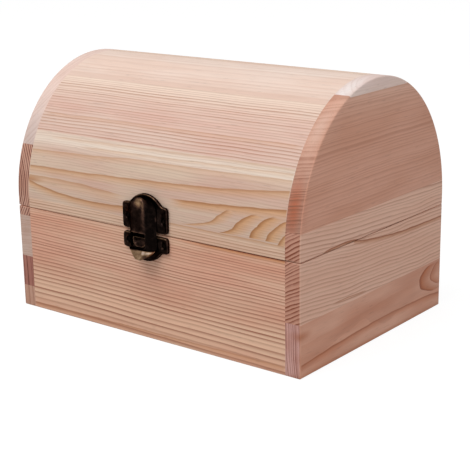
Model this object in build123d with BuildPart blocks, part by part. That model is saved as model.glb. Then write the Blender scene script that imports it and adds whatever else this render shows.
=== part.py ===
from build123d import *
import os

os.makedirs("parts", exist_ok=True)

# Overall size of the closed box, millimetres
box_length = 120.0
box_depth = 85.0
box_height = 86.0

# The base, the saw cut that parts the lid from it, and the lid's straight rails below the dome
base_height = 36.3
saw_cut = 0.25
rail_height = 3.55

# Board thicknesses
end_thickness = 5.5
wall_thickness = 5.5
bottom_thickness = 3.0
stave_thickness = 5.5
stave_count = 6

# Glue joints in the end boards, from the foot up, as shares of the base's height or of the lid's
left_base_joint_shares = [0.207, 0.51, 0.917]
left_lid_joint_shares = [0.434]
right_base_joint_shares = [0.474]
right_lid_joint_shares = [0.177, 0.925]

# Latch plates: pressed sheet with rounded ears
plate_depth = 1.0
plate_sheet = 0.5
plate_gap = 1.25
plate_half_width = 6.9
ear_reach = 9.3
ear_inner = 6.2
ear_round = 1.3
upper_ear_height = 8.7
upper_plate_height = 12.3
lower_ear_height = 5.3
lower_plate_height = 8.9
arch_inset = 0.5
ear_hole_reach = 7.55
upper_hole_height = 4.2
lower_hole_drop = 2.7

# Latch flap: a pressed hood with an arched top, hung on a pin that the upper plate's lugs hold
flap_front_half = 3.1
flap_base_half = 5.0
flap_sheet = 0.5
flap_side_wall = 0.7
flap_front_reach = 4.5
flap_back_gap = 0.3
flap_top_drop = 0.5
knuckle_radius = 1.7
knuckle_cover = 0.4
waist_reach = 3.2
waist_height = 4.0
waist_bend_height = 5.6
lip_reach = 4.9
lip_half_width = 4.7
lip_tip_half_width = 2.1
lip_drop = 1.2
lip_round = 1.0
window_half_width = 2.5
window_top_height = 10.3
window_height = 4.4
latch_pin_radius = 0.4
latch_pin_clearance = 0.06
latch_pin_half = 3.3

# Lugs of the upper plate, inside the hood
lug_inner = 0.5
lug_thickness = 0.8
lug_radius = 0.8
lug_top_drop = 0.5
lug_front_drop = 0.8
lug_front_step = 0.6
lug_length = 3.2

# Catch nose on the lower plate, seen through the flap's window
nose_half_width = 2.6
nose_height = 2.7
nose_corner_round = 1.4
nose_reach = 1.5
nose_top_drop = 0.3
nose_edge_round = 0.3

# Brads of the latch plates and hinge leaves
brad_shank_radius = 0.4
brad_length = 4.2
brad_head_radius = 0.9
brad_head_height = 0.35
brad_clearance = 0.03
dimple_clearance = 0.15
dimple_depth = 0.45

# Butt hinges on the back wall, their spacing as a share of the box's length
hinge_spacing_share = 0.53
hinge_width = 16.0
hinge_leaf_height = 8.0
hinge_sheet = 0.7
hinge_knuckles = 5
hinge_barrel_radius = 1.25
hinge_stand_off = 0.25
hinge_pin_radius = 0.6
hinge_pin_clearance = 0.05
hinge_pin_head = 0.3
knuckle_clearance = 0.15
leaf_corner_round = 1.2
hinge_brad_spacing = 9.6
hinge_brad_drop = 5.0

# One overrun for every cut that has to pass right through
overrun = 1.0

# Places worked out from the sizes above
half_length = box_length / 2
half_depth = box_depth / 2
lid_foot = base_height + saw_cut
lid_height = box_height - lid_foot
spring_height = lid_foot + rail_height
dome_rise = box_height - spring_height
seam_height = base_height + saw_cut / 2
board_length = box_length - 2 * end_thickness
inner_depth = box_depth - 2 * wall_thickness
upper_plate_foot = seam_height + plate_gap / 2
upper_plate_top = upper_plate_foot + upper_plate_height
lower_plate_top = seam_height - plate_gap / 2
lower_plate_foot = lower_plate_top - lower_plate_height
flap_top = upper_plate_top - flap_top_drop
latch_pin_height = flap_top - knuckle_radius
latch_pin_reach = flap_front_reach - knuckle_radius
flap_back_reach = plate_depth + flap_back_gap
flap_slant = (flap_base_half - flap_front_half) / (flap_front_reach - flap_back_reach)
flap_waist = lower_plate_foot + waist_height
flap_bend = lower_plate_foot + waist_bend_height
lip_tip = lower_plate_foot + lip_drop
window_top = lower_plate_foot + window_top_height
window_foot = window_top - window_height
nose_top = lower_plate_top - nose_top_drop
hinge_axis_y = half_depth + hinge_barrel_radius + hinge_stand_off
hinge_spacing = hinge_spacing_share * box_length
hinge_centres = [("left", -hinge_spacing / 2), ("right", hinge_spacing / 2)]
knuckle_length = hinge_width / hinge_knuckles


def front_y(reach):
    """Place in front of the front wall, as a y coordinate."""
    return -half_depth - reach


def arch_band(low, high):
    """Slice of an end board's outline between two heights."""
    with Locations((0, spring_height / 2)):
        Rectangle(box_depth, spring_height)
    with Locations((0, spring_height)):
        Ellipse(half_depth, dome_rise)
    with Locations((0, (low + high) / 2)):
        Rectangle(box_depth, high - low, mode=Mode.INTERSECT)


def plate_outline(square_end, crown, ear_end, inset):
    """Front view of a latch plate: a body arched at its crown, and an ear on each side of its square end."""
    up = 1 if crown > square_end else -1
    width = plate_half_width - inset
    square = square_end + up * inset
    arch_foot = ear_end - up * arch_inset
    crown_rise = abs(crown - arch_foot)
    arch_radius = (plate_half_width ** 2 + crown_rise ** 2) / (2 * crown_rise)
    with Locations((0, crown - up * arch_radius)):
        Circle(arch_radius - inset)
    with Locations((0, (square + crown) / 2)):
        Rectangle(2 * width, abs(crown - square), mode=Mode.INTERSECT)
    with Locations((0, (square + arch_foot) / 2)):
        Rectangle(2 * width, abs(arch_foot - square))
    ear_width = ear_reach - ear_inner
    ear_height = abs(ear_end - square_end)
    for side in (-1, 1):
        with Locations((side * (ear_inner + ear_reach) / 2, (square_end + ear_end) / 2)):
            RectangleRounded(ear_width - 2 * inset, ear_height - 2 * inset, ear_round - inset)
        with Locations((side * ear_inner, (3 * square + ear_end) / 4)):
            Rectangle(2 * ear_round, abs(ear_end - square) / 2)


def ear_places(height):
    """Both brad places of a latch plate at a height."""
    return [(side * ear_hole_reach, height) for side in (-1, 1)]


def hood_outline(reach, sheet, wall):
    """Front view of the flap's hood at a reach, smaller by its sheet at the top and its side walls."""
    half = flap_front_half + flap_slant * (flap_front_reach - reach) - wall
    arch_centre = flap_top - sheet - half
    with Locations((0, (flap_waist + arch_centre) / 2)):
        Rectangle(2 * half, arch_centre - flap_waist)
    with Locations((0, arch_centre)):
        Circle(half)


def hood_side(sheet):
    """Side view of the space that the hood fills: round above the pin, upright below it."""
    with Locations((front_y(latch_pin_reach), latch_pin_height)):
        Circle(knuckle_radius - sheet)
    with Locations((front_y((flap_front_reach - sheet) / 2), (flap_waist + latch_pin_height) / 2)):
        Rectangle(flap_front_reach - sheet, latch_pin_height - flap_waist)


def save(piece, label):
    """Labels a finished piece and writes its file."""
    piece.part.label = label
    export_step(piece.part, f"parts/{label}.step")


# Bottom panel, let in between the four walls
with BuildPart() as base_bottom_panel:
    with BuildSketch(Plane.XY):
        Rectangle(board_length, inner_depth)
    extrude(amount=bottom_thickness)
save(base_bottom_panel, "base_bottom_panel")

# Front board, with the pilot holes of the lower latch plate's brads
lower_hole_height = lower_plate_top - lower_hole_drop
brad_reach = brad_length - dimple_depth
with BuildPart() as base_front_board:
    with BuildSketch(Plane.XZ.offset(half_depth - wall_thickness)):
        with Locations((0, base_height / 2)):
            Rectangle(board_length, base_height)
    extrude(amount=wall_thickness)
    with BuildSketch(Plane.XZ.offset(half_depth - brad_reach)):
        with Locations(ear_places(lower_hole_height)):
            Circle(brad_shank_radius + brad_clearance)
    extrude(amount=brad_reach + overrun, mode=Mode.SUBTRACT)
save(base_front_board, "base_front_board")

# Back board, with the pilot holes of the hinge brads
hinge_brad_places = [
    centre + side * hinge_brad_spacing / 2 for _, centre in hinge_centres for side in (-1, 1)
]
base_brad_height = seam_height - hinge_brad_drop
lid_brad_height = seam_height + hinge_brad_drop
hinge_brad_reach = brad_length - hinge_sheet
with BuildPart() as base_back_board:
    with BuildSketch(Plane.XZ.offset(-half_depth)):
        with Locations((0, base_height / 2)):
            Rectangle(board_length, base_height)
    extrude(amount=wall_thickness)
    with BuildSketch(Plane.XZ.offset(-half_depth - overrun)):
        with Locations([(place, base_brad_height) for place in hinge_brad_places]):
            Circle(brad_shank_radius + brad_clearance)
    extrude(amount=hinge_brad_reach + overrun, mode=Mode.SUBTRACT)
save(base_back_board, "base_back_board")

# End boards, glued up from strips: the base strips below the cut and the lid strips above it
left_x = -half_length
right_x = half_length - end_thickness
strip_sets = [
    ("base_left_strip", left_x, 0.0, base_height, left_base_joint_shares),
    ("base_right_strip", right_x, 0.0, base_height, right_base_joint_shares),
    ("lid_left_strip", left_x, lid_foot, lid_height, left_lid_joint_shares),
    ("lid_right_strip", right_x, lid_foot, lid_height, right_lid_joint_shares),
]
for name, x_start, foot, height, joint_shares in strip_sets:
    joints = [foot, *[foot + share * height for share in joint_shares], foot + height]
    for number, (low, high) in enumerate(zip(joints, joints[1:]), start=1):
        with BuildPart() as end_strip:
            with BuildSketch(Plane.YZ.offset(x_start)):
                arch_band(low, high)
            extrude(amount=end_thickness)
        save(end_strip, f"{name}_{number}")

# Lid rails, the parts of the front and back boards above the saw cut
for name, side in (("lid_front_rail", -1), ("lid_back_rail", 1)):
    with BuildPart() as lid_rail:
        with BuildSketch(Plane.YZ.offset(-board_length / 2)):
            with Locations((side * (half_depth - wall_thickness / 2), (lid_foot + spring_height) / 2)):
                Rectangle(wall_thickness, spring_height - lid_foot)
        extrude(amount=board_length)
    save(lid_rail, name)

# Dome staves, round outside and flat inside, numbered from the front over the top to the back
stave_angle = 180 / stave_count
upper_hole = upper_plate_foot + upper_hole_height
for number in range(stave_count):
    with BuildPart() as stave:
        with BuildSketch(Plane.YZ.offset(-board_length / 2)):
            with BuildLine():
                outside = EllipticalCenterArc(
                    (0, spring_height), half_depth, dome_rise,
                    start_angle=180 - number * stave_angle, arc_size=-stave_angle)
                inner_corners = []
                for end in (outside @ 1, outside @ 0):
                    inner_y = end.X * (half_depth - stave_thickness) / half_depth
                    inner_z = (end.Y - spring_height) * (dome_rise - stave_thickness) / dome_rise
                    inner_corners.append((inner_y, spring_height + inner_z))
                Polyline(outside @ 1, *inner_corners, outside @ 0)
            make_face()
        extrude(amount=board_length)
        if number == 0:
            with BuildSketch(Plane.XZ.offset(half_depth - brad_reach)):
                with Locations(ear_places(upper_hole)):
                    Circle(brad_shank_radius + brad_clearance)
            extrude(amount=brad_reach + overrun, mode=Mode.SUBTRACT)
        if number == stave_count - 1:
            with BuildSketch(Plane.XZ.offset(-half_depth - overrun)):
                with Locations([(place, lid_brad_height) for place in hinge_brad_places]):
                    Circle(brad_shank_radius + brad_clearance)
            extrude(amount=hinge_brad_reach + overrun, mode=Mode.SUBTRACT)
    save(stave, f"lid_stave_{number + 1}")

# Hinges: each leaf is a flat sheet with knuckles rolled about the pin
for side_name, centre in hinge_centres:
    for owner, direction, first in (("base", -1, 0), ("lid", 1, 1)):
        near = seam_height + direction * (hinge_barrel_radius + knuckle_clearance)
        far = seam_height + direction * hinge_leaf_height
        brad_height = seam_height + direction * hinge_brad_drop
        with BuildPart() as leaf:
            with BuildSketch(Plane.XZ.offset(-half_depth - hinge_sheet)):
                with Locations((centre, (near + far) / 2)):
                    Rectangle(hinge_width, abs(far - near))
                fillet(vertices().filter_by(lambda v: abs(v.Y - far) < leaf_corner_round), leaf_corner_round)
            extrude(amount=hinge_sheet)
            for knuckle in range(first, hinge_knuckles, 2):
                start_x = centre - hinge_width / 2 + knuckle * knuckle_length + knuckle_clearance / 2
                with BuildSketch(Plane.YZ.offset(start_x)):
                    with Locations((half_depth + hinge_sheet / 2, (near + seam_height) / 2)):
                        Rectangle(hinge_sheet, abs(near - seam_height))
                    with Locations((hinge_axis_y, seam_height)):
                        Circle(hinge_barrel_radius)
                extrude(amount=knuckle_length - knuckle_clearance)
            bore = hinge_pin_radius + (hinge_pin_clearance if owner == "lid" else 0)
            with BuildSketch(Plane.YZ.offset(centre - hinge_width / 2)):
                with Locations((hinge_axis_y, seam_height)):
                    Circle(bore)
            extrude(amount=hinge_width, mode=Mode.SUBTRACT)
            with BuildSketch(Plane.XZ.offset(-half_depth - hinge_sheet)):
                with Locations([(centre + side * hinge_brad_spacing / 2, brad_height) for side in (-1, 1)]):
                    Circle(brad_shank_radius + brad_clearance)
            extrude(amount=hinge_sheet, mode=Mode.SUBTRACT)
        save(leaf, f"{side_name}_hinge_{owner}_leaf")
    with BuildPart() as hinge_pin:
        with BuildSketch(Plane.YZ.offset(centre - hinge_width / 2)):
            with Locations((hinge_axis_y, seam_height)):
                Circle(hinge_pin_radius)
        extrude(amount=hinge_width)
        fillet(hinge_pin.edges().filter_by(GeomType.CIRCLE), hinge_pin_head)
    save(hinge_pin, f"{side_name}_hinge_pin")

# Upper latch plate with the two lugs that hold the pin
with BuildPart() as latch_upper_plate:
    upper_ear_top = upper_plate_foot + upper_ear_height
    with BuildSketch(Plane.XZ.offset(half_depth)):
        plate_outline(upper_plate_foot, upper_plate_top, upper_ear_top, 0.0)
    extrude(amount=plate_depth)
    with BuildSketch(Plane.XZ.offset(half_depth)):
        plate_outline(upper_plate_foot, upper_plate_top, upper_ear_top, plate_sheet)
    extrude(amount=plate_depth - plate_sheet, mode=Mode.SUBTRACT)
    lug_back = front_y(plate_depth - plate_sheet / 2)
    for lug_x in (-lug_inner - lug_thickness, lug_inner):
        with BuildSketch(Plane.YZ.offset(lug_x)):
            with Locations((front_y(latch_pin_reach), latch_pin_height)):
                Circle(lug_radius)
            with BuildLine():
                Polyline((lug_back, latch_pin_height - lug_top_drop),
                         (front_y(latch_pin_reach), latch_pin_height - lug_top_drop),
                         (front_y(latch_pin_reach + lug_front_step), latch_pin_height - lug_front_drop),
                         (lug_back, latch_pin_height - lug_length), close=True)
            make_face()
        extrude(amount=lug_thickness)
    with BuildSketch(Plane.YZ.offset(-half_length)):
        with Locations((front_y(latch_pin_reach), latch_pin_height)):
            Circle(latch_pin_radius)
    extrude(amount=box_length, mode=Mode.SUBTRACT)
    with Locations(Plane.XZ.offset(half_depth + plate_depth)):
        with Locations(ear_places(upper_hole)):
            CounterBoreHole(brad_shank_radius + brad_clearance, brad_head_radius + dimple_clearance,
                            dimple_depth, plate_depth + overrun)
save(latch_upper_plate, "latch_upper_plate")

# Lower latch plate with the catch nose
with BuildPart() as latch_lower_plate:
    lower_ear_foot = lower_plate_top - lower_ear_height
    with BuildSketch(Plane.XZ.offset(half_depth)):
        plate_outline(lower_plate_top, lower_plate_foot, lower_ear_foot, 0.0)
    extrude(amount=plate_depth)
    with BuildSketch(Plane.XZ.offset(half_depth)):
        with Locations((0, nose_top - nose_height / 2)):
            Rectangle(2 * nose_half_width, nose_height)
        fillet(vertices().group_by(Axis.Y)[0], nose_corner_round)
    extrude(amount=plate_depth + nose_reach)
    fillet(latch_lower_plate.faces().sort_by(Axis.Y)[0].edges(), nose_edge_round)
    with BuildSketch(Plane.XZ.offset(half_depth)):
        plate_outline(lower_plate_top, lower_plate_foot, lower_ear_foot, plate_sheet)
    extrude(amount=plate_depth - plate_sheet, mode=Mode.SUBTRACT)
    with Locations(Plane.XZ.offset(half_depth + plate_depth)):
        with Locations(ear_places(lower_hole_height)):
            CounterBoreHole(brad_shank_radius + brad_clearance, brad_head_radius + dimple_clearance,
                            dimple_depth, plate_depth + overrun)
save(latch_lower_plate, "latch_lower_plate")

# Latch flap: hood with an arched top and slanted sides, a drawn-in waist and a turned-out lip
with BuildPart() as flap_lip:
    with BuildSketch(Plane.YZ.offset(-lip_half_width)):
        with BuildLine():
            front_curve = Spline((front_y(flap_front_reach), flap_bend),
                                 (front_y(waist_reach), flap_waist),
                                 (front_y(lip_reach), lip_tip),
                                 tangents=((0, -1), (-1, -1)))
            back_curve = Spline((front_y(flap_front_reach - flap_sheet), flap_bend),
                                (front_y(waist_reach - flap_sheet), flap_waist),
                                (front_y(lip_reach - flap_sheet), lip_tip),
                                tangents=((0, -1), (-1, -1)))
            Line(front_curve @ 0, back_curve @ 0)
            Line(front_curve @ 1, back_curve @ 1)
        make_face()
    extrude(amount=2 * lip_half_width)
    with BuildSketch(Plane.XZ.offset(half_depth)):
        with BuildLine():
            Polyline((-flap_front_half, flap_bend), (flap_front_half, flap_bend),
                     (lip_half_width, flap_waist), (lip_tip_half_width, lip_tip),
                     (-lip_tip_half_width, lip_tip), (-lip_half_width, flap_waist), close=True)
        make_face()
        fillet(vertices().group_by(Axis.Y)[0], lip_round)
    extrude(amount=lip_reach + overrun, mode=Mode.INTERSECT)

with BuildPart() as flap_hollow:
    hollow_reach = flap_front_reach - flap_sheet
    for reach in (plate_depth, hollow_reach):
        with BuildSketch(Plane.XZ.offset(half_depth + reach)):
            hood_outline(reach, flap_sheet, flap_side_wall)
    loft(ruled=True)
    with BuildSketch(Plane.YZ.offset(-half_length)):
        hood_side(flap_sheet)
    extrude(amount=box_length, mode=Mode.INTERSECT)

with BuildPart() as latch_flap:
    for reach in (flap_back_reach, flap_front_reach):
        with BuildSketch(Plane.XZ.offset(half_depth + reach)):
            hood_outline(reach, 0.0, 0.0)
    loft(ruled=True)
    with BuildSketch(Plane.YZ.offset(-half_length)):
        hood_side(0.0)
    extrude(amount=box_length, mode=Mode.INTERSECT)
    add(flap_hollow.part, mode=Mode.SUBTRACT)
    # The top is open behind the pin, where the lugs pass as the flap swings up
    with BuildSketch(Plane.YZ.offset(-window_half_width)):
        with Locations((front_y((latch_pin_reach + knuckle_cover) / 2), latch_pin_height + knuckle_radius)):
            Rectangle(latch_pin_reach + knuckle_cover, 2 * knuckle_radius)
    extrude(amount=2 * window_half_width, mode=Mode.SUBTRACT)
    # The hood's front is cut away where the waist draws in
    with BuildSketch(Plane.YZ.offset(-half_length)):
        with BuildLine():
            add(front_curve)
            Polyline(front_curve @ 1, (front_y(flap_front_reach + overrun), lip_tip),
                     (front_y(flap_front_reach + overrun), flap_bend), front_curve @ 0)
        make_face()
    extrude(amount=box_length, mode=Mode.SUBTRACT)
    add(flap_lip.part)
    # Window with a round foot
    with BuildSketch(Plane.XZ.offset(half_depth + (flap_back_reach + hollow_reach) / 2)):
        with Locations((0, (window_top + window_foot + window_half_width) / 2)):
            Rectangle(2 * window_half_width, window_top - window_foot - window_half_width)
        with Locations((0, window_foot + window_half_width)):
            Circle(window_half_width)
    extrude(amount=hollow_reach, mode=Mode.SUBTRACT)
    # Bore for the pin
    with BuildSketch(Plane.YZ.offset(-half_length)):
        with Locations((front_y(latch_pin_reach), latch_pin_height)):
            Circle(latch_pin_radius + latch_pin_clearance)
    extrude(amount=box_length, mode=Mode.SUBTRACT)
save(latch_flap, "latch_flap")

# Pin of the flap, set in the lugs
with BuildPart() as latch_pin:
    with BuildSketch(Plane.YZ.offset(-latch_pin_half)):
        with Locations((front_y(latch_pin_reach), latch_pin_height)):
            Circle(latch_pin_radius)
    extrude(amount=2 * latch_pin_half)
save(latch_pin, "latch_pin")

# Brads: flat heads in the plates' dimples or on the hinge leaves, shanks in the wood
brad_rows = [
    ("latch_upper_brads", ear_places(upper_hole), half_depth + plate_depth - dimple_depth, 1),
    ("latch_lower_brads", ear_places(lower_hole_height), half_depth + plate_depth - dimple_depth, 1),
    ("base_hinge_brads", [(x, base_brad_height) for x in hinge_brad_places], half_depth + hinge_sheet, -1),
    ("lid_hinge_brads", [(x, lid_brad_height) for x in hinge_brad_places], half_depth + hinge_sheet, -1),
]
for name, places, seat, outward in brad_rows:
    with BuildPart() as brads:
        with BuildSketch(Plane.XZ.offset(outward * seat)):
            with Locations(places):
                Circle(brad_head_radius)
        extrude(amount=outward * brad_head_height)
        with BuildSketch(Plane.XZ.offset(outward * seat)):
            with Locations(places):
                Circle(brad_shank_radius)
        extrude(amount=-outward * brad_length)
    save(brads, name)
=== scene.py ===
import logging
import math
from collections import defaultdict
from dataclasses import dataclass
from enum import Enum
from functools import cached_property

import bmesh
import bpy
import numpy as np
from mathutils import Matrix, Vector
from mathutils.geometry import delaunay_2d_cdt


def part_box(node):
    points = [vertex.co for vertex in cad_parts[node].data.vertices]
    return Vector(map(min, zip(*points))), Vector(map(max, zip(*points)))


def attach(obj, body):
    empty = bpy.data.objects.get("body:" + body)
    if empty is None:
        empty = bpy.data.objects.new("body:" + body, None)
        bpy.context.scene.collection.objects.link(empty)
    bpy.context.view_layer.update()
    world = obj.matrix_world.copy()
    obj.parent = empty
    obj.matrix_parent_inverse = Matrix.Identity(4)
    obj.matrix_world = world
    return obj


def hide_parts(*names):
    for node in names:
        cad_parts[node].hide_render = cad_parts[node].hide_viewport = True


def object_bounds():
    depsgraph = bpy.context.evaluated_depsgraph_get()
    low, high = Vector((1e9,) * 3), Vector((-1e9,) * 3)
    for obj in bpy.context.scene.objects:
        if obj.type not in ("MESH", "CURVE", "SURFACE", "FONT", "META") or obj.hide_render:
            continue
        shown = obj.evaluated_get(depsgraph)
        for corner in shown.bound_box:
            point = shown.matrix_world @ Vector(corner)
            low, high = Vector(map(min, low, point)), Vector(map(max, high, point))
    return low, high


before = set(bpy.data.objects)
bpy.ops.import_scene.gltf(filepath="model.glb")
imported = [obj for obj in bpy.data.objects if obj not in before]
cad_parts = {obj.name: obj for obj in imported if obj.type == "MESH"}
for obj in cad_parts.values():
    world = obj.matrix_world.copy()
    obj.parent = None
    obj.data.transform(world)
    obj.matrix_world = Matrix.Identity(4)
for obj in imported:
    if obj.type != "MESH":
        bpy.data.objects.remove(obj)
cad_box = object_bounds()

# Looks of a small domed pine keepsake chest with an antique bronze hook latch, on its CAD frame

LOG = logging.getLogger("chest")
Piece = bpy.types.Object
Socket = bpy.types.NodeSocket
Point = tuple[float, float, float]
Pairs = tuple[tuple[float, float], ...]

# The meshes are worked out in millimetres and put into Blender in metres
MM = 0.001
PER_METRE = 1000.0


def hex_to_linear(code: str) -> tuple[float, ...]:
    """Turns an sRGB colour to linear light, by the standard's straight foot and 2.4 power.

    Args:
        code: The colour as six hex digits with a leading hash.

    Returns:
        Linear red, green, blue, and an alpha of one.
    """
    channels = [int(code[place:place + 2], 16) / 255 for place in (1, 3, 5)]
    return (*(c / 12.92 if c <= 0.04045 else ((c + 0.055) / 1.055) ** 2.4 for c in channels), 1.0)


class Recipe:
    """A material or a world while its nodes are being laid out."""

    def __init__(self, owner: bpy.types.Material | bpy.types.World) -> None:
        """Starts an empty node tree.

        Args:
            owner: The material or the world that the nodes belong to.
        """
        owner.use_nodes = True
        self.owner, self.tree = owner, owner.node_tree
        self.tree.nodes.clear()

    def add(self, kind: str, *inputs, out: int | str = 0, stops: tuple | list = (), **settings) -> Socket:
        """Adds one node with its settings, and sets or links its inputs.

        Args:
            kind: The node's type name without the leading ShaderNode, then its operation if it has one.
            inputs: Values or sockets for the first inputs in order; None leaves one alone.
            out: Which output to hand back.
            stops: Places and colours of a colour ramp, in order.
            settings: More inputs by name, with _ for a space, and properties of the node itself.

        Returns:
            The chosen output socket.
        """
        kind, _, operation = kind.partition(" ")
        node = self.tree.nodes.new("ShaderNode" + kind)
        if operation:
            node.operation = operation
        named = {socket.identifier.replace(" ", "_"): socket for socket in node.inputs}
        pairs = list(zip(node.inputs, inputs))
        for name, value in settings.items():
            if name in named:
                pairs.append((named[name], value))
            else:
                setattr(node, name, value)
        for socket, value in pairs:
            if isinstance(value, Socket):
                self.tree.links.new(value, socket)
            elif value is not None:
                socket.default_value = value
        if stops:
            elements = node.color_ramp.elements
            while len(elements) < len(stops):
                elements.new(0.5)
            for element, stop in zip(elements, stops):
                element.position, element.color = stop
        return node.outputs[out] if node.outputs else None

    @cached_property
    def place(self) -> Socket:
        """The place on the piece in mm, from its object coordinates."""
        return self.add("VectorMath MULTIPLY", self.add("TexCoord", out="Object"), (PER_METRE,) * 3)

    def curve(self, value: Socket, points: Pairs) -> Socket:
        """Sends a length through a smooth curve that passes given points and is level beyond them.

        Args:
            value: The socket to read, in mm.
            points: Pairs of mm, in rising order of the first.

        Returns:
            The curve's height in mm.
        """
        places, heights = np.array(points, float).T
        low, high = min(heights) - 0.5, max(heights) + 0.5
        share = self.add("MapRange", value, places[0], places[-1])
        socket = self.add("FloatCurve", 1.0, share)
        mapping = socket.node.mapping
        line = mapping.curves[0].points
        shares = list(zip((places - places[0]) / (places[-1] - places[0]), (heights - low) / (high - low)))
        line[0].location, line[1].location = shares[0], shares[-1]
        for point in shares[1:-1]:
            line.new(*point)
        mapping.update()
        return self.add("MapRange", socket, 0, 1, low, high)


class Grain(Enum):
    """Which way a board's fibres run, as a mask of the two directions across them."""

    ALONG_THE_FRONT = (0.0, 1.0, 1.0)
    FRONT_TO_BACK = (1.0, 0.0, 1.0)

    @property
    def along(self) -> Point:
        """The direction of the fibres themselves."""
        return tuple(1.0 - share for share in self.value)


@dataclass(frozen=True)
class BroadLine:
    """One broad growth ring of a flat-sawn board, dark at its edge and fading to one side of it."""

    # Places that the ring's sharp edge passes, in mm: (run, z), or (z, run) where it stands up, where the run
    # goes along the board
    points: Pairs
    fade: float  # How far the colour takes to fade away from the sharp edge, in mm
    strength: float  # How dark the ring is, from zero to one
    soft_ends: tuple[float, float]  # Over what length the ring comes in and goes out, in mm
    upright: bool = False  # Whether the ring stands up, with its sharp edge on the left


@dataclass(frozen=True)
class Spot:
    """A place of another colour in a board, such as the wood round a knot; on the upper staves, a painted
    sheen.
    """

    centre: Point  # Where it is, in mm
    reach: Point  # Its half sizes along x, y and z, in mm
    colour: str  # Its colour, as sRGB hex
    strength: float  # How much of the colour shows at its middle


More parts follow.
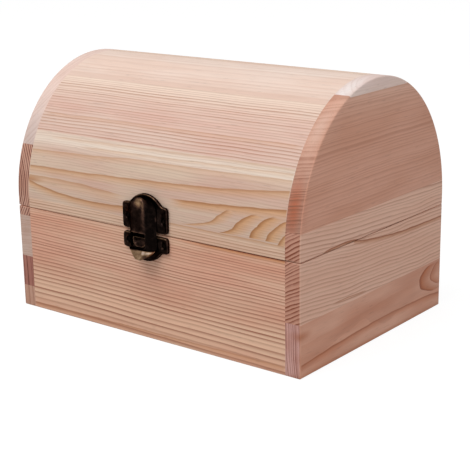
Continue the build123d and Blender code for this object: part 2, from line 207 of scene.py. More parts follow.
@dataclass(frozen=True)
class PineBoard:
    """Planed and sanded pine, left bare: pale spring wood with darker, harder summer rings.

    The rings are tubes about the tree's pith, so a board's faces and its end grain agree. Bare sanded
    pine has no varnish gloss: rough, with the rings a few hundredths of a millimetre proud. Lengths are
    in mm and colours are sRGB hex. Each MapRange takes a noise's usual span to the span that is wanted.
    """

    name: str  # The material's name
    grain: Grain  # Which way the fibres run
    pith: Point  # A point on the tree's middle line, which is far off for straight rings
    ring: float  # Mean growth of a year
    spring: str  # Colour of the pale early wood
    summer: str  # Colour of the dark late wood
    blush: str  # Colour that the early wood drifts towards in soft patches
    contrast: float  # How strong the darkest rings are, from zero to one
    uneven: float = 1.2  # How much the ring widths vary, in rings
    wave: float = 0.5  # Height of the rings' slow waves along the grain
    wave_length: float = 45.0  # Length of those waves
    rise: float = 0.0  # How much the rings climb for each mm along the grain
    sway: Pairs = ()  # How far the rings have dropped at places along the grain
    # Years grown at distances from the pith, where the ring widths change across the board
    growth: Pairs = ()
    # Share of red, green and blue that the end grain keeps of the long grain's colour
    end_tint: Point = (0.66, 0.6, 0.56)
    end_depth: float = 1.6  # How much stronger the rings are on the end grain
    flame: str = "#cf9466"  # Colour that the broad rings fade through
    lines: tuple[BroadLine, ...] = ()  # Broad rings placed one by one
    spots: tuple[Spot, ...] = ()  # Places of another colour

    # Length and width of noise, in mm. Fibres are 0.03 mm wide in the real wood and are drawn 0.3 mm wide
    # so that they show. Resin canals are fine dashes. The rest are soft patches of blush, places where the
    # rings fade, and the shake of the broad rings
    FIBRES = (9.0, 0.3)
    CANALS = (4.5, 0.45)
    PATCHES = (38.0, 9.0)
    FADING = (30.0, 2.0)
    SHAKE = (7.0, 2.5)
    # Change of the ring widths from one year to the next, strength of the faintest year, and what is left of
    # the rings where they fade
    DRIFT, FAINTEST, FADED = 0.23, 0.45, 0.7
    # How far the broad rings are shaken, and over what length their sharp edge ends, in mm
    SHAKEN, SHARP = 0.35, 0.3
    # Share of the shake that upright and lying broad rings take. Reach of a ring's dark edge and of its
    # flame, as shares of its fade, and how much stronger the flame is
    UPRIGHT_SHAKE, LYING_SHAKE = 0.9, 0.4
    DARK_REACH, FLAME_REACH, FLAME_GAIN = 0.45, 1.6, 1.3
    # Between these shares of its normal along the fibres a face turns to end grain. Strength of the blush
    # from outside its patches to inside them. Tone of the wood between the fibres and on them, and in a
    # resin canal
    END_FACING, BLUSHED, TONES, CANAL_TONE = (0.8, 0.97), (-0.2, 0.8), (0.93, 1.07), 0.86
    # Strength and height in mm of the rings' and fibres' relief, roughness between the fibres and on them,
    # and the low sheen of bare wood
    RELIEF, ROUGHNESS, SHEEN = (0.35, 0.06), (0.56, 0.7), 0.35
    # Share of summer wood through a year: the wood darkens slowly and the year ends sharply
    YEAR = ((0, 0.15), (0.1, 0), (0.4, 0.05), (0.68, 0.5), (0.86, 1), (1, 0.8))

    def noise(self, recipe: Recipe, size: tuple[float, float], detail: float, rough: float = 0.5) -> Socket:
        """Noise that is stretched along the grain.

        Args:
            recipe: The material being made.
            size: Length of its features along the fibres and their width.
            detail: Octaves of finer noise.
            rough: How strong each finer octave is.

        Returns:
            The noise, from zero to one.
        """
        scales = [share / size[1] + run / size[0] for share, run in zip(self.grain.value, self.grain.along)]
        place = recipe.add("VectorMath MULTIPLY", recipe.place, scales)
        return recipe.add("TexNoise", place, Scale=1, Detail=detail, Roughness=rough)

    def summer_rings(self, recipe: Recipe) -> tuple[Socket, Socket]:
        """Draws the rings by the distance from the pith: the length of the place's part across the grain,
        plus the slow waves, the climb and the sway along it. Each year has its own width, darkness and
        tint.

        Args:
            recipe: The material being made.

        Returns:
            How much summer wood there is, and the year's tint, both from zero to one.
        """
        add = recipe.add
        across = add("VectorMath SUBTRACT", recipe.place, self.pith)
        across = add("VectorMath MULTIPLY", across, self.grain.value)
        slow = self.noise(recipe, (self.wave_length, self.wave_length / 2.5), 2, 0.45)
        waves = add("MapRange", slow, 0.3, 0.7, -self.wave, self.wave, clamp=False)
        along = add("VectorMath DOT_PRODUCT", recipe.place, self.grain.along, out=1)
        climb = add("Math MULTIPLY_ADD", along, self.rise, waves)
        if self.sway:
            climb = add("Math ADD", climb, recipe.curve(along, self.sway))
        distance = add("Math ADD", add("VectorMath LENGTH", across, out=1), climb)
        if self.growth:
            years = recipe.curve(distance, self.growth)
        else:
            years = add("Math DIVIDE", distance, self.ring)
        drift = add("TexNoise", W=add("Math MULTIPLY", years, self.DRIFT), Scale=1, Detail=2,
                    noise_dimensions="1D")
        uneven = add("MapRange", drift, 0.25, 0.75, -self.uneven, self.uneven, clamp=False)
        phase = add("Math ADD", years, uneven)
        summer = add("ValToRGB", add("Math FRACT", phase),
                     stops=[(place, (level, level, level, 1)) for place, level in self.YEAR])
        year = add("Math FLOOR", phase)
        chance, tint = (add("TexWhiteNoise", W=add("Math ADD", year, seed), noise_dimensions="1D")
                        for seed in (0, 0.37))
        shade = add("Math MULTIPLY", summer, add("MapRange", chance, 0, 1, self.FAINTEST, 1))
        kept = add("MapRange", self.noise(recipe, self.FADING, 1), 0.3, 0.65, self.FADED, 1)
        return add("Math MULTIPLY", add("Math MULTIPLY", shade, kept), self.contrast), tint

    def broad_rings(self, recipe: Recipe, shade: Socket) -> tuple[Socket, Socket | float]:
        """Lays the listed rings over the others: each is darkest at its curve, ends within 0.3 mm on
        its outer side, and on its inner side turns to a flame colour that fades slowly.

        Args:
            recipe: The material being made.
            shade: The summer wood so far.

        Returns:
            The summer wood with these rings, and how much of the flame colour there is.
        """
        add = recipe.add
        x, y, z = add("SeparateXYZ", recipe.place).node.outputs
        length = x if self.grain is Grain.ALONG_THE_FRONT else y
        shake = add("MapRange", self.noise(recipe, self.SHAKE, 3), 0.3, 0.7, -self.SHAKEN, self.SHAKEN,
                    clamp=False)
        flame = 0.0
        for line in self.lines:
            run, side = (z, length) if line.upright else (length, z)
            edge = recipe.curve(run, line.points)
            if line.upright:
                above, share = add("Math SUBTRACT", edge, side), self.UPRIGHT_SHAKE
            else:
                above, share = add("Math SUBTRACT", side, edge), self.LYING_SHAKE
            above = add("Math MULTIPLY_ADD", shake, share, above)
            shown = add("MapRange", above, 0, self.SHARP, 1, 0, interpolation_type="SMOOTHSTEP")
            first, last = line.points[0][0], line.points[-1][0]
            for closed, opened in ((first, first + line.soft_ends[0]), (last, last - line.soft_ends[1])):
                end = add("MapRange", run, closed, opened, interpolation_type="SMOOTHSTEP")
                shown = add("Math MULTIPLY", shown, end)
            dark = add("MapRange", above, -self.DARK_REACH * line.fade, 0, 0, line.strength)
            glow = add("MapRange", above, -self.FLAME_REACH * line.fade, 0,
                       0, self.FLAME_GAIN * line.strength)
            shade = add("Math MAXIMUM", shade, add("Math MULTIPLY", dark, shown))
            flame = add("Math MAXIMUM", flame, add("Math MULTIPLY", glow, shown))
        return shade, flame

    def make(self) -> bpy.types.Material:
        """Lays out the whole board's material.

        Returns:
            The material.
        """
        recipe = Recipe(bpy.data.materials.new(self.name))
        add = recipe.add
        shade, tint = self.summer_rings(recipe)
        shade, flame = self.broad_rings(recipe, shade)
        facing = add("VectorMath DOT_PRODUCT", add("TexCoord", out="Normal"), self.grain.along, out=1)
        end_grain = add("MapRange", add("Math ABSOLUTE", facing), *self.END_FACING)
        deeper = add("Math MULTIPLY_ADD", end_grain, self.end_depth, 1)
        shade = add("Math MULTIPLY", shade, deeper, use_clamp=True)

        patches = add("MapRange", self.noise(recipe, self.PATCHES, 2), 0.35, 0.65, *self.BLUSHED)
        layers = [(add("Math MULTIPLY_ADD", tint, 0.4, patches, use_clamp=True), self.blush)]
        for spot in self.spots:
            away = add("VectorMath SUBTRACT", recipe.place, spot.centre)
            away = add("VectorMath LENGTH", add("VectorMath DIVIDE", away, spot.reach), out=1)
            near = add("MapRange", away, 1, 0, 0, spot.strength, interpolation_type="SMOOTHSTEP")
            layers.append((near, spot.colour))
        colour = hex_to_linear(self.spring)
        for amount, code in (*layers, (flame, self.flame), (shade, self.summer)):
            colour = add("Mix", amount, A_Color=colour, B_Color=hex_to_linear(code), data_type="RGBA", out=2)

        fibres = self.noise(recipe, self.FIBRES, 3, 0.6)
        canals = self.noise(recipe, self.CANALS, 1)
        tone = add("Math MULTIPLY", add("MapRange", fibres, 0.25, 0.75, *self.TONES),
                   add("MapRange", canals, 0.66, 0.76, 1, self.CANAL_TONE))
        ends = add("VectorMath MULTIPLY_ADD", end_grain, [share - 1 for share in self.end_tint], (1, 1, 1))
        colour = add("VectorMath SCALE", add("VectorMath MULTIPLY", colour, ends), Scale=tone)
        (strength, deep), (smooth, coarse) = self.RELIEF, self.ROUGHNESS
        height = add("Math MULTIPLY_ADD", shade, 0.5, fibres)
        bump = add("Bump", Strength=strength, Distance=deep * MM, Height=height)
        rough = add("MapRange", fibres, 0.3, 0.7, smooth, coarse)
        add("OutputMaterial", add("BsdfPrincipled", colour, Roughness=rough, Specular_IOR_Level=self.SHEEN,
                                  Normal=bump))
        return recipe.owner


@dataclass(frozen=True)
class AntiqueBronze:
    """Pressed steel plated with brass and blackened, with the brass rubbed through on the high places.

    The blackening is nearly black and half glossy, thins to a reddish brown on edges, and gives way to
    dull brass on what fingers touch. The same values also carry painted light: the latch hood's sides are
    kept darkest as painted shade, and lighter tones on its edges and lip stand in for highlights.
    """

    name: str  # The material's name
    # Its colour from untouched and painted-shade metal to fully worn and painted-highlight brass, as pairs of
    # a share and sRGB hex
    tones: tuple[tuple[float, str], ...] = ((0.0, "#0c0807"), (0.2, "#1f1613"), (0.42, "#46322a"),
                                            (0.66, "#7d6149"), (0.86, "#a48668"), (1.0, "#d3b9a6"))
    # Size in mm, detail and strength of the blackening's clouds, and of its speckles
    clouds: tuple[Point, Point] = ((1.6, 3.0, 0.3), (0.3, 1.0, 0.12))

    # Strength and height in mm of the clouds' relief, roughness of untouched and of rubbed metal, and the
    # brown that its sheen has at a low angle
    RELIEF, ROUGHNESS, SHEEN = (0.2, 0.04), (0.36, 0.44), "#6e625c"

    def make(self) -> bpy.types.Material:
        """Lays out the metal's material.

        Returns:
            The material.
        """
        recipe = Recipe(bpy.data.materials.new(self.name))
        add = recipe.add
        # How worn each point is, with the painted light and shade of the latch hood carried in the same
        # values
        worn_and_painted_light = add("Attribute", attribute_name="wear_and_painted_light", out="Fac")
        noises = []
        for size, detail, amount in self.clouds:
            noises.append(add("TexNoise", recipe.place, Scale=1 / size, Detail=detail))
            shift = add("MapRange", noises[-1], 0.25, 0.75, -amount / 2, amount / 2, clamp=False)
            worn_and_painted_light = add("Math ADD", worn_and_painted_light, shift, use_clamp=True)
        colour = add("ValToRGB", worn_and_painted_light, stops=[(share, hex_to_linear(code)) for share, code in self.tones])
        strength, deep = self.RELIEF
        rough = add("MapRange", worn_and_painted_light, 0, 1, *self.ROUGHNESS)
        bump = add("Bump", Strength=strength, Distance=deep * MM, Height=noises[0])
        add("OutputMaterial", add("BsdfPrincipled", colour, 1, rough, Normal=bump,
                                  Specular_Tint=hex_to_linear(self.SHEEN)))
        return recipe.owner


def add_object(name: str, data: bpy.types.ID) -> Piece:
    """Puts an object into the scene, at the origin.

    Args:
        name: The object's name.
        data: Its mesh, lamp or camera.

    Returns:
        The object.
    """
    thing = bpy.data.objects.new(name, data)
    bpy.context.scene.collection.objects.link(thing)
    return thing


def mesh_piece(name: str, points: np.ndarray, faces: list, crease: float = 35.0) -> Piece:
    """Makes an object from points in millimetres, smooth but for edges sharper than the crease angle.

    Args:
        name: The piece's name.
        points: An array of x, y, z in mm.
        faces: Lists of point numbers, counter-clockwise seen from outside.
        crease: Angle in degrees past which an edge stays sharp.

    Returns:
        The object, at the origin.
    """
    mesh = bpy.data.meshes.new(name)
    mesh.from_pydata((np.asarray(points) * MM).tolist(), [], [list(map(int, face)) for face in faces])
    mesh.polygons.foreach_set("use_smooth", np.ones(len(mesh.polygons), bool))
    mesh.set_sharp_from_angle(angle=math.radians(crease))
    mesh.update()
    return add_object(name, mesh)


def dress(piece: Piece, family: str, node: str, body: str, material: bpy.types.Material) -> None:
    """Gives a piece its name and finish, and stands it in for a CAD node on its body.

    Args:
        piece: The piece.
        family: What its name starts with.
        node: The CAD node that it stands for.
        body: The body that it moves with.
        material: Its finish.
    """
    piece.name = f"{family}_{node}"
    piece.data.materials.append(material)
    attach(piece, body)
    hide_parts(node)
    LOG.info("%s: %d faces", piece.name, len(piece.data.polygons))


def grid_faces(rows: int, columns: int, closed: bool) -> np.ndarray:
    """Quads between the neighbouring points of a grid that is stored row by row.

    Args:
        rows: Number of rows.
        columns: Points in a row.
        closed: Whether each row runs round and meets itself.

    Returns:
        An array of four point numbers for each quad.
    """
    near = np.arange(columns if closed else columns - 1)
    down, far = np.arange(rows - 1)[:, None] * columns, (near + 1) % columns
    quads = np.stack([down + near, down + far, down + columns + far, down + columns + near], axis=-1)
    return quads.reshape(-1, 4)


def tube_of_rows(name: str, rows: np.ndarray, flip: bool = False) -> Piece:
    """Closes a stack of rings of points into a solid: quads between the rings and a face at each end.

    Args:
        name: The piece's name.
        rows: An array of rings by points by x, y, z, in mm.
        flip: Whether to turn the faces over.

    Returns:
        The object.
    """
    count, around = rows.shape[:2]
    cap = np.arange(around)
    faces = [*grid_faces(count, around, True), cap[::-1], cap + (count - 1) * around]
    return mesh_piece(name, rows.reshape(-1, 3), [face[::-1] for face in faces] if flip else faces)


def loop_area(loop: np.ndarray) -> float:
    """Signed area of a flat loop, above zero where it runs anticlockwise."""
    first, second = loop.T
    return float(np.sum(first * np.roll(second, -1) - np.roll(first, -1) * second) / 2)


def carried(section: np.ndarray, *places: float) -> np.ndarray:
    """Copies of a (y, z) section at places along x, as rows of points."""
    return np.stack([np.column_stack([np.full(len(section), x), section]) for x in places])


def smooth_step(value: np.ndarray, low: float, high: float) -> np.ndarray:
    """Rises softly from zero at the low value to one at the high one."""
    share = np.clip((value - low) / (high - low), 0.0, 1.0)
    return share * share * (3 - 2 * share)


def bell(value: np.ndarray, middle: float, spread: float) -> np.ndarray:
    """Falls off as a Gaussian from one at the middle."""
    return np.exp(-((value - middle) / spread) ** 2)


def fall(radius: float | np.ndarray, away: np.ndarray) -> np.ndarray:
    """How far a circle has fallen from its top at a distance from its middle."""
    return radius - np.sqrt(np.maximum(radius ** 2 - away ** 2, 0.0))


def quarter(count: int) -> np.ndarray:
    """Angles from zero to a quarter turn."""
    return np.linspace(0.0, math.pi / 2, count)


# The corners of a unit square, anticlockwise
SQUARE = np.array([(0.0, 0.0), (1.0, 0.0), (1.0, 1.0), (0.0, 1.0)])


@dataclass(frozen=True)
class Woodwork:
    """All the boards of the chest: walls, bottom, glued-up ends and the staves of the dome, in mm."""

    half_length: float  # Half the length of the box
    half_depth: float  # Half its depth
    height: float  # Its height
    base_top: float  # Height of the base's sawn edge
    lid_foot: float  # Height of the lid's sawn edge
    spring: float  # Height where the walls end and the dome starts
    end_inner: float  # Distance of an end board's inner face from the middle
    wall: float  # Thickness of the front and back boards
    bottom: float  # Thickness of the bottom panel
    edge_round: float = 0.55  # Radius of the sanded outer arrises
    saw_round: float = 0.12  # Radius of the walls' sawn edges, three times that of the ends'
    steps: int = 5  # Points round an eased arris
    row_gap: float = 0.8  # Height of the rows that an end board's curve is made of
    kerf_closing: float = 0.112  # How far each side of the saw cut on the ends comes back towards the other
    staves: tuple[int, int] = (6, 25)  # Number of staves, and points across the round face of each

    # The saw cut closes between these y, and is moved by all of its closing up to the first height from
    # its edge and by none past the second; its columns are laid so many across the face
    CLOSING_Y = (-38.0, -22.0)
    CLOSING_HEIGHT = (0.15, 1.6)
    CLOSING_COLUMNS = 18
    # Heights nearer than this are the same
    TOUCH = 0.01

    @classmethod
    def from_frame(cls) -> "Woodwork":
        """Reads the sizes from the corners of the CAD nodes.

        Returns:
            The woodwork with those sizes.
        """
        front_low, front_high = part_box("base_front_board")
        rail_low, rail_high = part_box("lid_front_rail")
        strip_low, strip_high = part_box("base_right_strip_1")
        metres = (strip_high.x, strip_high.y, cad_box[1].z, front_high.z, rail_low.z, rail_high.z,
                  strip_low.x, front_high.y - front_low.y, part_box("base_bottom_panel")[1].z)
        return cls(*(size / MM for size in metres))

    def eased(self, radius: float) -> tuple[np.ndarray, np.ndarray]:
        """A quarter round: how far in from the side and up from the foot each of its points is."""
        angle = quarter(self.steps)
        return radius * (1 - np.sin(angle)), radius * (1 - np.cos(angle))

    def outline(self, height: np.ndarray) -> tuple[np.ndarray, np.ndarray, np.ndarray]:
        """Half the depth of the box at each height, and the way that its surface faces there: upright
        below the spring and a half ellipse above it.

        Args:
            height: Heights.

        Returns:
            Half depths, and the y and z parts of the outward normal at the back.
        """
        rise = self.height - self.spring
        up = np.clip((height - self.spring) / rise, 0.0, 1.0)
        half = self.half_depth * np.sqrt(1 - up ** 2)
        normal_y, normal_z = half / self.half_depth ** 2, up / rise
        length = np.hypot(normal_y, normal_z)
        return half, normal_y / length, normal_z / length

    def section(self, node: str) -> np.ndarray:
        """The (y, z) section of a board that runs along the box: the let-in panel is a rectangle, a stave
        follows the half ellipse over its share of the turn outside and is flat inside, and a wall has its
        outer arrises eased.

        Args:
            node: The CAD node that it stands for.

        Returns:
            The section's corners, anticlockwise.
        """
        inner = self.half_depth - self.wall
        if "panel" in node:
            return (SQUARE * 2 - 1) * (inner, self.bottom / 2) + (0.0, self.bottom / 2)
        if "stave" in node:
            (count, steps), number, rise = self.staves, int(node[-1]), self.height - self.spring
            turn = np.linspace(number - 1, number, steps) * math.pi / count
            outer = np.column_stack([-self.half_depth * np.cos(turn), self.spring + rise * np.sin(turn)])
            ends = turn[[-1, 0]]
            flat = np.column_stack([-inner * np.cos(ends), self.spring + (rise - self.wall) * np.sin(ends)])
            corners = np.vstack([outer, flat])
        else:
            low, low_round, high, high_round = (
                (self.lid_foot, self.saw_round, self.spring, 0.0) if "rail" in node else
                (0.0, self.edge_round, self.base_top, self.saw_round))
            (low_inset, low_rise), (high_inset, high_rise) = self.eased(low_round), self.eased(high_round)
            depth = np.concatenate([[inner], self.half_depth - low_inset,
                                    self.half_depth - high_inset[::-1], [inner]])
            heights = np.concatenate([[low], low + low_rise, high - high_rise[::-1], [high]])
            corners = np.column_stack([-depth if "front" in node else depth, heights])
        return corners if loop_area(corners) > 0 else corners[::-1]

    def end_strip(self, node: str) -> Piece:
        """One strip of a glued-up end board. Each row is the board's section at a height, with its outer
        arrises eased by stepping in along the outline's normal as it steps out along x. Free edges are
        eased too, and edges that are glued to another strip are not.

        Args:
            node: The CAD node that it stands for.

        Returns:
            The object.
        """
        low_corner, high_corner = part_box(node)
        low, high, side = low_corner.z / MM, high_corner.z / MM, math.copysign(1.0, high_corner.x)
        family, number = node.rsplit("_", 1)
        topmost = high >= self.height - self.TOUCH
        count = max(4, int((high - low) / self.row_gap))
        heights = np.linspace(low, high, count)
        if topmost:
            rise = self.height - self.spring
            top = math.acos(min(1.0, (low - self.spring) / rise))
            heights = self.spring + rise * np.cos(np.linspace(top, 0.0, 3 * count))
        shrink = np.zeros(len(heights))
        if number == "1":
            inset, rise = self.eased(self.edge_round)
            heights = np.concatenate([low + rise, heights[heights > low + self.edge_round]])
            shrink = np.concatenate([inset, np.zeros(len(heights) - self.steps)])
        if not topmost and f"{family}_{int(number) + 1}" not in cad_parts:
            inset, rise = self.eased(self.saw_round / 3)
            kept = heights < high - self.saw_round / 3
            heights = np.concatenate([heights[kept], (high - rise)[::-1]])
            shrink = np.concatenate([shrink[kept], inset[::-1]])
        half, normal_y, normal_z = self.outline(heights)
        in_face, back_off = self.eased(self.edge_round)
        # From the inner face out along the back, round the arris, and across the outer face to the front
        inset = np.concatenate([[0.0], in_face[::-1]])
        x = np.concatenate([[self.end_inner], self.half_length - back_off[::-1]])
        x = np.minimum(x, (self.half_length - shrink)[:, None])
        y = half[:, None] - shrink[:, None] - inset * normal_y[:, None]
        back = np.stack([side * x, y, heights[:, None] - inset * normal_z[:, None]], axis=-1)
        rows = np.concatenate([back, back[:, ::-1] * (1.0, -1.0, 1.0)], axis=1)
        for edge in (self.base_top, self.lid_foot):
            if min(abs(low - edge), abs(high - edge)) < self.TOUCH:
                rows = self.closing_kerf(rows, edge)
        return tube_of_rows(node, rows, flip=side < 0)

    def closing_kerf(self, rows: np.ndarray, edge: float) -> np.ndarray:
        """Lets the saw cut close behind the front corner, where the photograph loses it: columns are laid
        across the outer face, and the rows by the cut move towards it as a smooth step of y.

        Args:
            rows: The strip's rows, from the inner face round the back and across the outer face.
            edge: Height of the strip's sawn edge.

        Returns:
            The rows with their new columns.
        """
        half = rows.shape[1] // 2
        share = np.linspace(0.0, 1.0, self.CLOSING_COLUMNS)[None, 1:-1, None]
        across = (1 - share) * rows[:, half - 1:half] + share * rows[:, half:half + 1]
        rows = np.concatenate([rows[:, :half], across, rows[:, half:]], axis=1)
        way = 1 if edge == self.base_top else -1
        near = 1 - smooth_step(np.abs(rows[..., 2] - edge), *self.CLOSING_HEIGHT)
        rows[..., 2] += way * self.kerf_closing * near * smooth_step(rows[..., 1], *self.CLOSING_Y)
        return rows

    def build(self, finishes: dict[str, PineBoard]) -> None:
        """Makes every board, gives it its own pine and hangs it on its body.

        Args:
            finishes: The pine of each CAD node, by the node's name.
        """
        for node, finish in finishes.items():
            if "strip" in node:
                piece = self.end_strip(node)
            else:
                piece = tube_of_rows(node, carried(self.section(node), -self.end_inner, self.end_inner))
            dress(piece, "wood", node, node.split("_")[0], finish.make())


